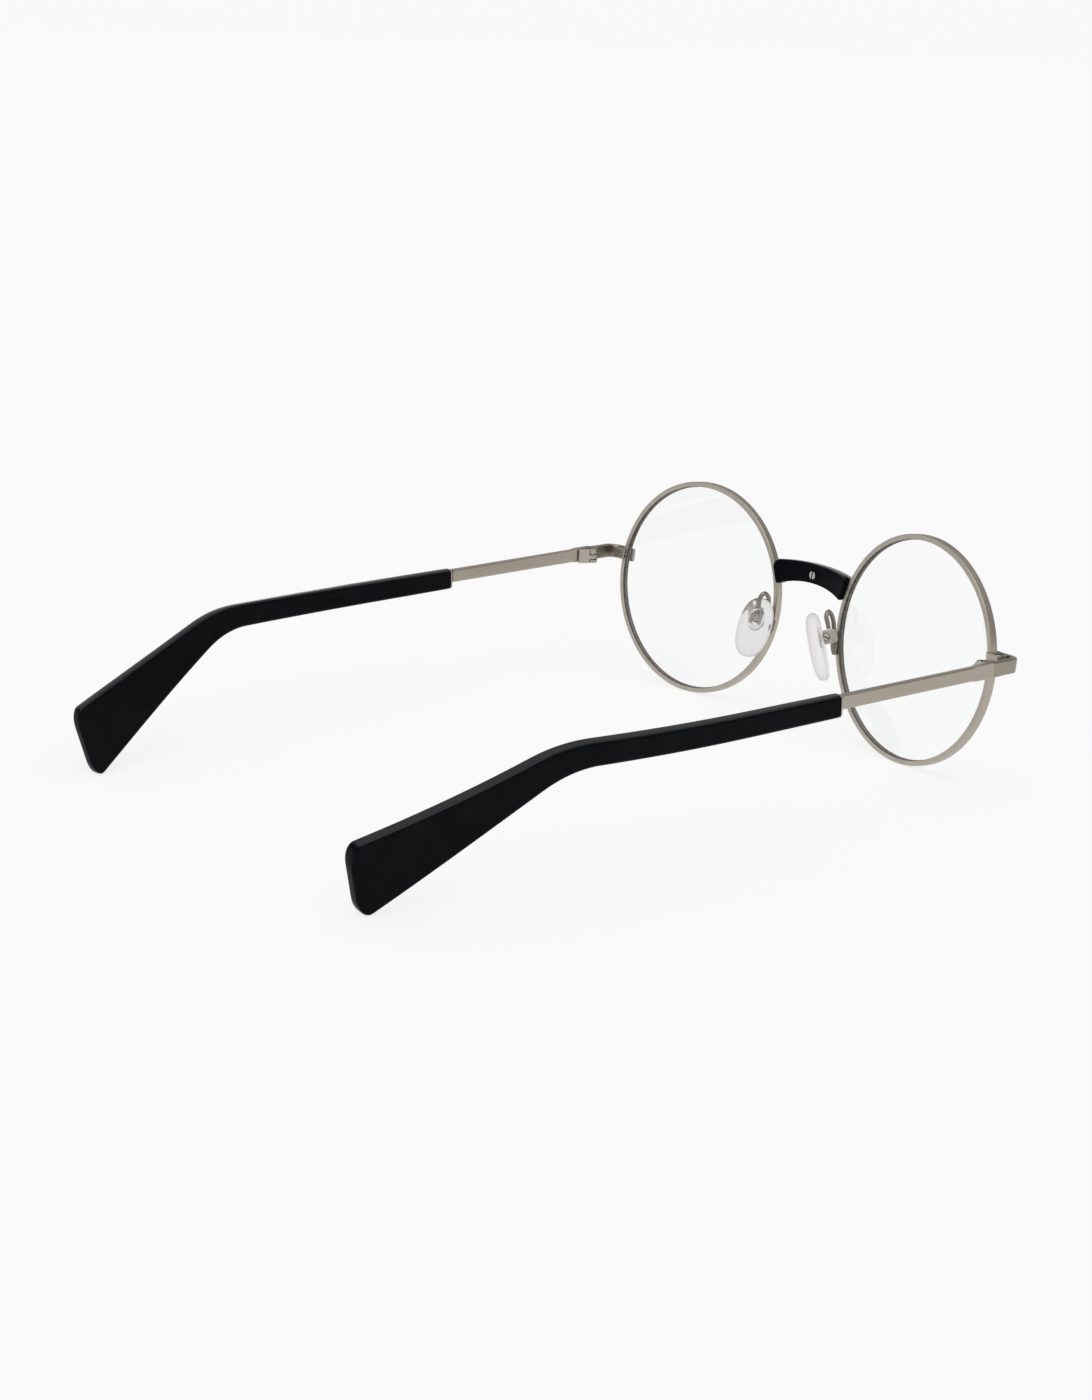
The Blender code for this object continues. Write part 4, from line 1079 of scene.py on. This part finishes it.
def core_plate(spare, outer):
    """Oval plate in the pad's back, or the pocket for it when spare is its clearance."""
    pads = group("pads")
    inner = -pads.skin - pads.plate_thickness - spare
    shape = turned(round_bar(1.0, inner, outer), 90, "Y")
    halves = (1, pads.plate_width / 2 + spare, pads.plate_height / 2 + spare)
    bmesh.ops.scale(shape, verts=shape.verts, vec=halves)
    return shape


def pad_bore():
    pads = group("pads")
    return round_bar(pads.screw_shaft + seat_gap(), -pads.box_width, pads.box_width, "y")


def core_shape():
    """Hard core of the pad: a plate and a tongue that turns on the pad screw."""
    pads = group("pads")
    reach = pads.tongue_radius
    root = -pads.skin - pads.plate_thickness / 2
    end = [(reach * sin(angle), -reach * cos(angle)) for angle in spread(0, pi, 20)]
    tongue = prism([(root, -reach), *end, (root, reach)], pads.tongue_width / 2)
    plate = core_plate(0.0, -pads.skin - seat_gap() / 2)
    soften(plate, CUT_SOFTNESS, END_SHARP, 2)
    return combine(combine(plate, [tongue], "UNION"), [pad_bore()])


def box_shape():
    """Metal box at the end of the pad arm, slotted for the tongue of the core."""
    pads = group("pads")
    gap = group("hinges").run_gap
    half = pads.box_height / 2
    corner = pads.box_corner
    centre = pads.box_length - pads.box_front - corner
    arc = []
    for angle in spread(0, pi, 20):
        side = 1 if angle > pi / 2 else -1
        arc.append((centre + corner * sin(angle), side * (half - corner) - corner * cos(angle)))
    body = prism([(-pads.box_front, -half), *arc, (-pads.box_front, half)], pads.box_width / 2)
    soften(body, pads.box_softness)
    wide = pads.tongue_width / 2 + gap
    slot = box_between((-2 * pads.box_front, -wide, -pads.box_height),
                       (pads.tongue_radius + gap, wide, pads.box_height))
    hole = round_bar(pads.screw_shaft + gap, -pads.box_width, pads.box_width, "y")
    seat = round_bar(pads.screw_head + gap, pad_screw_seat() - gap, pads.box_width, "y")
    # The slot, hole and seat take painted shade
    return combine(body, [slot, hole, seat], paint_cut_shade=True)


def pad_screw_seat():
    return group("pads").box_width / 2 - group("pads").screw_thickness


def pad_screw_shape():
    made = slotted_screw(group("pads"), pad_screw_seat() + group("pads").box_width / 2, 35, "y")
    return moved(made, (0, pad_screw_seat(), 0))


def foot_point(height):
    """Middle of the pad arm's foot, which lies on the back of the rim, at a height."""
    pads = group("pads")
    wires = group("eyewires")
    reach = (rim_radius() + pads.foot_out) * cos(asin(height / rim_radius()))
    rear = wires.rim_depth / 2 + wires.seat_gap + pads.foot_thickness
    return eyewire_frame() @ Vector((-reach, rear, height))


def arm_shape(pieces=8, sides=20):
    """Bent wire from a flat foot on the rim, up over a loop and down to the top of the pad box."""
    pads = group("pads")
    foot_top = pads.screw_up - pads.low
    leg = pads.box_length / 2 - pads.box_front
    top = pads.box_height / 2 + seat_gap()
    box = pad_frame()
    knots = [foot_point(foot_top - pads.foot_length * share) for share in (1, 0.5, 0)]
    knots += [box @ Vector((leg + out * pads.loop_width, back * pads.loop_width, top + up * pads.loop_height))
              for out, back, up in LOOP_BENDS]
    path = smooth_path(knots, pieces)
    wrap = group("eyewires").face_wrap
    side = Vector((-sin(wrap), cos(wrap), 0.0))
    rings = []
    for index, place in enumerate(path):
        ahead = (path[min(index + 1, len(path) - 1)] - path[max(index - 1, 0)]).normalized()
        side = (side - ahead * side.dot(ahead)).normalized()
        across = ahead.cross(side)
        share = min(1.0, index / (2 * pieces))
        bulge = sqrt(max(0.0, 1 - (2 * share - 1) ** 2))
        flat = pads.wire * between(FOOT_END, 1, share) + (pads.foot_width - FOOT_WIRE * pads.wire) * bulge
        thick = between(pads.foot_thickness, pads.wire, eased(share))
        rings.append([place + across * flat * cos(angle) + side * thick * sin(angle)
                      for angle in spread(0, 2 * pi, sides)[:-1]])
    shape = draw_out(rings)
    soften(shape, CUT_SOFTNESS, END_SHARP, 2)
    return shape


def feed(node, inputs):
    """Give each named input its value or, where a socket is given, a link from that socket."""
    for key, value in inputs.items():
        if isinstance(value, bpy.types.NodeSocket):
            node.id_data.links.new(value, node.inputs[key])
        else:
            node.inputs[key].default_value = value


def add_node(tree, kind, inputs, **settings):
    """Add a shader node of a kind, set and feed it, and return its outputs."""
    made = tree.nodes.new("ShaderNode" + kind)
    for name, value in settings.items():
        setattr(made, name, value)
    feed(made, inputs)
    return made.outputs


def noise(tree, vector, scale, detail, roughness):
    inputs = {"Vector": vector, "Scale": scale, "Detail": detail, "Roughness": roughness}
    return add_node(tree, "TexNoise", inputs)["Fac"]


def remap(tree, value, low, high, to_low=0.0, to_high=1.0):
    inputs = {"Value": value, "From Min": low, "From Max": high, "To Min": to_low, "To Max": to_high}
    return add_node(tree, "MapRange", inputs)["Result"]


def blend_value(tree, operation, first, second):
    return add_node(tree, "Math", {0: first, 1: second}, operation=operation)["Value"]


def opaque(colour):
    return (*colour, 1.0)


def mix_tones(tree, mask, first, second):
    inputs = {"Factor": mask, "A": opaque(first), "B": opaque(second)}
    return add_node(tree, "Mix", inputs, data_type="RGBA")["Result"]


def bump(tree, height, strength, distance):
    return add_node(tree, "Bump", {"Height": height, "Strength": strength, "Distance": distance})["Normal"]


def shared_group(tree, name, scales, vector, build):
    """Place a node group that several materials share, built when it is first asked for."""
    shared = bpy.data.node_groups.get(name)
    if not shared:
        shared = bpy.data.node_groups.new(name, "ShaderNodeTree")
        sockets = shared.interface
        sockets.new_socket("Vector", in_out="INPUT", socket_type="NodeSocketVector")
        for label, scale in scales.items():
            sockets.new_socket(label, in_out="INPUT", socket_type="NodeSocketFloat").default_value = scale
        masks = build(shared, shared.nodes.new("NodeGroupInput").outputs)
        for label in masks:
            sockets.new_socket(label, in_out="OUTPUT", socket_type="NodeSocketFloat")
        feed(shared.nodes.new("NodeGroupOutput"), masks)
    return add_node(tree, "Group", {"Vector": vector, **scales}, node_tree=shared)


def draw_marks(tree, given):
    """Soft smudges and a few fine hairline scratches, as masks."""
    smudges = noise(tree, given["Vector"], given["Smudge Scale"], 4.0, 0.55)
    drawn_out = {"Vector": given["Vector"], "Scale": (1.0, 0.06, 1.0), "Rotation": (0.2, 0.1, 0.35)}
    lines = noise(tree, add_node(tree, "Mapping", drawn_out)["Vector"], given["Scratch Scale"], 3.0, 0.6)
    return {"Smudges": remap(tree, smudges, 0.38, 0.68), "Scratches": remap(tree, lines, 0.60, 0.72)}


def draw_grain(tree, given):
    """The fine directional grain of blasted and brushed plating, as a height and a mask."""
    fine = noise(tree, given["Vector"], given["Grain Scale"], 2.0, 0.6)
    coarse = noise(tree, given["Vector"], blend_value(tree, "MULTIPLY", given["Grain Scale"], 0.12), 3.0, 0.5)
    height = blend_value(tree, "ADD", blend_value(tree, "MULTIPLY", fine, 0.7),
                         blend_value(tree, "MULTIPLY", coarse, 0.3))
    return {"Height": height, "Tone": remap(tree, coarse, 0.35, 0.65)}


def handling_marks(tree, vector, smudge_scale, scratch_scale):
    scales = {"Smudge Scale": smudge_scale, "Scratch Scale": scratch_scale}
    return shared_group(tree, "handling marks", scales, vector, draw_marks)


def smudged(tree, marks, low, high):
    """A roughness that runs from low, where the surface is clean, to high under the smudges."""
    return remap(tree, marks["Smudges"], 0.0, 1.0, low, high)


def scratched(tree, marks, change):
    """What the scratches add to a roughness."""
    return remap(tree, marks["Scratches"], 0.0, 1.0, 0.0, change)


def blend_surface(tree, share, other):
    """Let another shader stand for a share of the material's own."""
    own = tree.nodes["Principled BSDF"].outputs["BSDF"]
    mix = add_node(tree, "MixShader", {"Fac": share, 1: own, 2: other})["Shader"]
    feed(tree.nodes["Material Output"], {"Surface": mix})


def let_shadows_through(tree, share):
    """Let part of the light pass in shadow rays, as a clear plastic does."""
    shadow = add_node(tree, "LightPath", {})["Is Shadow Ray"]
    clear = add_node(tree, "BsdfTransparent", {})["BSDF"]
    blend_surface(tree, blend_value(tree, "MULTIPLY", shadow, share), clear)


def plated_metal(tree, vector, name, rough, grain_scale):
    """Satin plated metal: two close tones, grain along the stretch, smudged and faintly scratched."""
    light, dark = getattr(group("finishes"), name), getattr(group("finishes"), name + "_shade")
    grain = shared_group(tree, "satin grain", {"Grain Scale": grain_scale}, vector, draw_grain)
    marks = handling_marks(tree, vector, 120.0, 1600.0)
    return {
        "Base Color": mix_tones(tree, remap(tree, grain["Tone"], 0.0, 1.0, 0.35, 0.0), light, dark),
        "Roughness": blend_value(tree, "ADD", smudged(tree, marks, rough, rough + 0.07),
                                 scratched(tree, marks, -0.08)),
        "Metallic": 1.0,
        "Normal": bump(tree, grain["Height"], 0.25, 0.000012),
    }


def black_acetate(tree, vector):
    """Polished black acetate, faintly clouded inside, with a painted sheen: upward faces get a higher specular
    level than the sides, as if lit from above.
    """
    finishes = group("finishes")
    clouds = remap(tree, noise(tree, vector, 160.0, 3.0, 0.55), 0.45, 0.75)
    marks = handling_marks(tree, vector, 70.0, 1400.0)
    facing = add_node(tree, "NewGeometry", {})["Normal"]
    painted_sheen_mask = add_node(tree, "SeparateXYZ", {"Vector": facing})["Z"]
    return {
        "Base Color": mix_tones(tree, clouds, finishes.acetate, finishes.acetate_cloud),
        "Roughness": blend_value(tree, "ADD", smudged(tree, marks, 0.12, 0.19), scratched(tree, marks, 0.10)),
        "IOR": 1.48,
        # Painted highlight: the specular level rises on upward faces, as if lit from above
        "Specular IOR Level": remap(tree, painted_sheen_mask, 0.55, 0.98, 0.04, 0.44),
        "Normal": bump(tree, marks["Scratches"], 0.12, 0.000004),
    }


def clear_lens(tree, vector):
    """Clear hard-coated lens with the faintest smudges."""
    let_shadows_through(tree, 0.95)
    return {
        "Base Color": opaque(group("finishes").lens),
        "Roughness": smudged(tree, handling_marks(tree, vector, 60.0, 900.0), 0.0, 0.012),
        "IOR": 1.5,
        "Transmission Weight": 1.0,
        "Specular IOR Level": 0.03,
    }


def ground_edge(tree, vector):
    """Matt ground bevel round the lens."""
    finishes = group("finishes")
    grain = noise(tree, vector, 3000.0, 2.0, 0.6)
    return {
        "Base Color": mix_tones(tree, grain, finishes.edge, finishes.edge_shade),
        "Roughness": 0.6,
        "Specular IOR Level": 0.2,
        "Normal": bump(tree, grain, 0.2, 0.00001),
    }


def clear_silicone(tree, vector):
    """Clear soft pad, slightly hazy and uneven, with painted shade that darkens its colour towards its outline,
    where it turns from view.
    """
    finishes = group("finishes")
    let_shadows_through(tree, 0.75)
    # Painted shade: the colour darkens towards the outline as the surface turns from view
    facing = add_node(tree, "LayerWeight", {"Blend": 0.35})["Facing"]
    return {
        "Base Color": mix_tones(tree, facing, finishes.silicone, finishes.silicone_painted_edge_shade),
        "Roughness": smudged(tree, handling_marks(tree, vector, 350.0, 1500.0), 0.05, 0.16),
        "IOR": 1.16,
        "Transmission Weight": 0.92,
        "Normal": bump(tree, noise(tree, vector, 420.0, 2.0, 0.5), 0.08, 0.00012),
    }


def clear_plastic(tree, vector):
    """Clear hard plastic of the pads' cores, with fine scratches."""
    let_shadows_through(tree, 0.75)
    marks = handling_marks(tree, vector, 300.0, 1500.0)
    return {
        "Base Color": opaque(group("finishes").plastic),
        "Roughness": smudged(tree, marks, 0.03, 0.10),
        "IOR": 1.22,
        "Transmission Weight": 0.94,
        "Normal": bump(tree, marks["Scratches"], 0.1, 0.000004),
    }


# Each finish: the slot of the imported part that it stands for, its maker, the stretch of its patterns and, for
# a plating, its tone, its roughness and the scale of its grain
FINISHES = {
    "satin_nickel": ("satin_nickel", plated_metal, EVEN, "nickel", 0.36, 5200.0),
    "brushed_nickel": ("satin_nickel", plated_metal, BRUSHED, "brushed", 0.33, 4200.0),
    "band_nickel": ("satin_nickel", plated_metal, BRUSHED, "band", 0.33, 4200.0),
    "arm_nickel": ("satin_nickel", plated_metal, EVEN, "arm", 0.34, 5200.0),
    # Painted shade: a darker copy of the plating for cuts, slots, grooves and the rims' inner walls
    "shadow_painted_nickel": ("satin_nickel", plated_metal, EVEN, "recess", 0.45, 5200.0),
    "screw_steel": ("screw_steel", plated_metal, EVEN, "steel", 0.24, 7000.0),
    "black_acetate": ("black_acetate", black_acetate, EVEN),
    "clear_lens": ("clear_lens", clear_lens, EVEN),
    "ground_edge": ("clear_lens", ground_edge, EVEN),
    "clear_silicone": ("clear_silicone", clear_silicone, EVEN),
    "clear_plastic": ("clear_plastic", clear_plastic, EVEN),
}
# The second material of a slot's pieces: for metal, painted shade on cuts, slots and grooves; for the lens, the
# finish of its ground bevel
CUT_SHADES_AND_FINISHES = {
    "satin_nickel": "shadow_painted_nickel",
    "screw_steel": "shadow_painted_nickel",
    "clear_lens": "ground_edge",
}


def finish_material(finish):
    """The material of a finish, made when it is first asked for, on the piece's own coordinates."""
    label = finish.replace("_", " ")
    made = bpy.data.materials.get(label)
    if not made:
        _, maker, stretch, *values = FINISHES[finish]
        made = bpy.data.materials.new(label)
        made.use_nodes = True
        tree = made.node_tree
        place = add_node(tree, "TexCoord", {})["Object"]
        vector = add_node(tree, "Mapping", {"Vector": place, "Scale": stretch})["Vector"]
        feed(tree.nodes["Principled BSDF"], maker(tree, vector, *values))
    return made


def set_piece(name, shape, place, side, finish, body, node):
    """Finish a drawn shape: put it in place on its side, smooth it, give it its material and let it ride."""
    world = front_frame() @ Matrix.Diagonal((side, 1, 1, 1)) @ place
    bmesh.ops.transform(shape, matrix=world, verts=shape.verts)
    bmesh.ops.remove_doubles(shape, verts=shape.verts, dist=WELD)
    piece = mesh_object(name, shape)
    piece.data.shade_smooth()
    piece.data.set_sharp_from_angle(angle=CREASE)
    even = piece.modifiers.new("even shading", "WEIGHTED_NORMAL")
    even.keep_sharp = True
    slot = FINISHES[finish][0]
    piece.data.materials.append(finish_material(finish))
    # Metal pieces get a second material that paints shade in their cuts; the lens gets its ground edge
    if slot in CUT_SHADES_AND_FINISHES:
        piece.data.materials.append(finish_material(CUT_SHADES_AND_FINISHES[slot]))
    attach(piece, body)
    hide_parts(node)


def on_both_sides(piece, maker, place, finish, body, node):
    """Set one drawn piece on the left and on the right."""
    for label, side in SIDES.items():
        carrier = body if body == "front" else f"{body}_{label}"
        set_piece(f"{piece}_of_{label}", maker(), place, side, finish, carrier, f"{node}_{label}")


class GLASSES_OT_rims(Operator):
    """Round eyewires with their lens groove"""
    bl_idname = "glasses.rims"
    bl_label = "Rims"

    def execute(self, context):
        on_both_sides("eyewire", rim_shape, eyewire_frame(), "satin_nickel", "front", "rim")
        return {"FINISHED"}


class GLASSES_OT_lenses(Operator):
    """Clear curved lenses in the grooves"""
    bl_idname = "glasses.lenses"
    bl_label = "Lenses"

    def execute(self, context):
        on_both_sides("clear_lens", lens_shape, eyewire_frame(), "clear_lens", "front", "lens")
        return {"FINISHED"}


class GLASSES_OT_bridge(Operator):
    """Arched metal bar, its acetate lining and the screw that holds them together"""
    bl_idname = "glasses.bridge"
    bl_label = "Bridge"

    def execute(self, context):
        here = Matrix.Identity(4)
        set_piece("arched_bar", bridge_bar_shape(), here, 1, "satin_nickel", "front", "bridge_bar")
        set_piece("bridge_lining", lining_shape(), here, 1, "black_acetate", "front", "bridge_saddle")
        set_piece("lining_screw", bridge_screw_shape(), here, 1, "screw_steel", "front", "bridge_screw")
        return {"FINISHED"}


class GLASSES_OT_locks(Operator):
    """Closing blocks that hold each rim shut, with their screws"""
    bl_idname = "glasses.locks"
    bl_label = "Closing Blocks"

    def execute(self, context):
        place = eyewire_frame()
        on_both_sides("upper_block", upper_lock_shape, place, "satin_nickel", "front", "rim_lock_upper")
        on_both_sides("lower_block", lower_lock_shape, place, "satin_nickel", "front", "rim_lock_lower")
        on_both_sides("block_screw", lock_screw_shape, place, "screw_steel", "front", "rim_lock_screw")
        return {"FINISHED"}


class GLASSES_OT_end_pieces(Operator):
    """Bands that run from the front round the corner to the hinges"""
    bl_idname = "glasses.end_pieces"
    bl_label = "End Pieces"

    def execute(self, context):
        on_both_sides("end_band", end_piece_shape, Matrix.Identity(4), "band_nickel", "front", "end_piece")
        return {"FINISHED"}


class GLASSES_OT_hinges(Operator):
    """Hinge leaves with their knuckles, and the hinge screws"""
    bl_idname = "glasses.hinges"
    bl_label = "Hinges"

    def execute(self, context):
        place = hinge_frame()
        on_both_sides("fixed_leaf", front_leaf_shape, place, "satin_nickel", "front", "hinge_front_leaf")
        on_both_sides("moving_leaf", temple_leaf_shape, place, "satin_nickel", "temple", "hinge_temple_leaf")
        on_both_sides("hinge_pin_screw", hinge_screw_shape, place, "screw_steel", "front", "hinge_screw")
        return {"FINISHED"}


class GLASSES_OT_temples(Operator):
    """Flat metal temple bars with the collars that meet the acetate"""
    bl_idname = "glasses.temples"
    bl_label = "Temple Bars"

    def execute(self, context):
        place = hinge_frame()
        on_both_sides("side_bar", temple_bar_shape, place, "brushed_nickel", "temple", "temple_bar")
        on_both_sides("tip_collar", ferrule_shape, place, "satin_nickel", "temple", "temple_ferrule")
        return {"FINISHED"}


class GLASSES_OT_tips(Operator):
    """Long acetate tips that bend down and widen to a paddle"""
    bl_idname = "glasses.tips"
    bl_label = "Temple Tips"

    def execute(self, context):
        on_both_sides("acetate_tip", tip_shape, hinge_frame(), "black_acetate", "temple", "temple_tip")
        return {"FINISHED"}


class GLASSES_OT_pad_arms(Operator):
    """Wire pad arms, the boxes at their ends and the pad screws"""
    bl_idname = "glasses.pad_arms"
    bl_label = "Pad Arms"

    def execute(self, context):
        place = pad_frame()
        on_both_sides("wire_arm", arm_shape, Matrix.Identity(4), "arm_nickel", "front", "pad_arm")
        on_both_sides("arm_box", box_shape, place, "satin_nickel", "front", "pad_box")
        on_both_sides("box_screw", pad_screw_shape, place, "screw_steel", "front", "pad_screw")
        return {"FINISHED"}


class GLASSES_OT_pads(Operator):
    """Soft clear nose pads on their hard cores"""
    bl_idname = "glasses.pads"
    bl_label = "Nose Pads"

    def execute(self, context):
        place = pad_frame()
        on_both_sides("hard_core", core_shape, place, "clear_plastic", "pad", "pad_core")
        on_both_sides("soft_pad", pad_shape, place, "clear_silicone", "pad", "nose_pad")
        return {"FINISHED"}


def grey(level):
    return (level, level, level, 1.0)


def floor_material(studio):
    """Pale floor that matches the backdrop where light reaches it and keeps soft shadows."""
    made = bpy.data.materials.new("pale_floor")
    made.use_nodes = True
    tree = made.node_tree
    shader = tree.nodes["Principled BSDF"]
    feed(shader, {"Base Color": grey(0.90), "Roughness": 1.0, "Specular IOR Level": 0.0})
    paths = add_node(tree, "LightPath", {})
    seen = paths["Is Camera Ray"]
    for label in ("Is Glossy Ray", "Is Transmission Ray"):
        seen = blend_value(tree, "MAXIMUM", seen, paths[label])
    glow = add_node(tree, "Emission", {"Color": grey(studio.floor_level)})["Emission"]
    blend_surface(tree, blend_value(tree, "MULTIPLY", seen, studio.floor_glow), glow)
    return made


def studio_world(studio):
    """Pale round the horizon, greyer above it and bright overhead, like a soft box over a table."""
    world = bpy.data.worlds.new("studio")
    world.use_nodes = True
    tree = world.node_tree
    place = add_node(tree, "TexCoord", {})["Generated"]
    ramp = tree.nodes.new("ShaderNodeValToRGB")
    feed(ramp, {"Fac": add_node(tree, "SeparateXYZ", {"Vector": place})["Z"]})
    bands = ramp.color_ramp.elements
    bands[0].position, bands[1].position = 0.09, 0.88
    bands[0].color, bands[1].color = grey(studio.backdrop), (0.85, 0.85, 0.86, 1.0)
    for position in (0.17, 0.60):
        bands.new(position).color = grey(studio.upper_level)
    through = {"Factor": add_node(tree, "LightPath", {})["Is Transmission Ray"], "A": ramp.outputs["Color"],
               "B": grey(studio.backdrop)}
    feed(tree.nodes["Background"], {"Color": add_node(tree, "Mix", through, data_type="RGBA")["Result"]})
    bpy.context.scene.world = world


def soft_sun(name, strength, softness, rotation):
    light = bpy.data.lights.new(name, "SUN")
    light.energy = strength
    light.angle = radians(softness)
    add_object(name, light).rotation_euler = [radians(part) for part in rotation]


class GLASSES_OT_studio(Operator):
    """Pale floor, soft lights and the camera at the photograph's angle"""
    bl_idname = "glasses.studio"
    bl_label = "Studio"

    def execute(self, context):
        studio = group("studio")
        shape = bmesh.new()
        bmesh.ops.create_grid(shape, x_segments=1, y_segments=1, size=studio.floor_size / 2)
        floor = mesh_object("floor", shape)
        floor.data.materials.append(floor_material(studio))
        studio_world(studio)
        soft_sun("key", studio.key_strength, 60, (-28, -22, 0))
        soft_sun("fill", studio.fill_strength, 90, (55, 0, -120))
        lens = bpy.data.cameras.new("camera")
        lens.sensor_width = 36.0
        lens.lens = studio.focal_length
        lens.clip_start = 0.01
        camera = add_object("camera", lens)
        camera.location = studio.camera_place
        camera.rotation_euler = studio.camera_turn
        context.scene.camera = camera
        context.scene.view_settings.view_transform = "Standard"
        return {"FINISHED"}


class GLASSES_PT_panel(Panel):
    """Buttons for every piece and the studio"""
    bl_label = "Round Eyeglasses"
    bl_space_type = "VIEW_3D"
    bl_region_type = "UI"
    bl_category = "Eyeglasses"

    def draw(self, context):
        for operator in OPERATORS:
            self.layout.operator(operator.bl_idname)
        for name in GROUPS:
            block = self.layout.box()
            block.label(text=name.replace("_", " ").title())
            settings = group(name)
            for field in settings.__annotations__:
                block.prop(settings, field)


GROUPS = {
    "eyewires": GLASSES_PG_eyewires,
    "bridge": GLASSES_PG_bridge,
    "locks": GLASSES_PG_locks,
    "end_pieces": GLASSES_PG_end_pieces,
    "hinges": GLASSES_PG_hinges,
    "temples": GLASSES_PG_temples,
    "pads": GLASSES_PG_pads,
    "finishes": GLASSES_PG_finishes,
    "studio": GLASSES_PG_studio,
}
OPERATORS = (GLASSES_OT_rims, GLASSES_OT_lenses, GLASSES_OT_bridge, GLASSES_OT_locks, GLASSES_OT_end_pieces,
             GLASSES_OT_hinges, GLASSES_OT_temples, GLASSES_OT_tips, GLASSES_OT_pad_arms, GLASSES_OT_pads,
             GLASSES_OT_studio)


CLASSES = (*GROUPS.values(), *OPERATORS, GLASSES_PT_panel)


def register():
    for kind in CLASSES:
        bpy.utils.register_class(kind)
    for name, kind in GROUPS.items():
        setattr(bpy.types.Scene, "glasses_" + name, PointerProperty(type=kind))


def unregister():
    for name in GROUPS:
        delattr(bpy.types.Scene, "glasses_" + name)
    for kind in reversed(CLASSES):
        bpy.utils.unregister_class(kind)


def main():
    register()
    for operator in OPERATORS:
        family, action = operator.bl_idname.split(".")
        getattr(getattr(bpy.ops, family), action)()


if __name__ == "__main__":
    main()
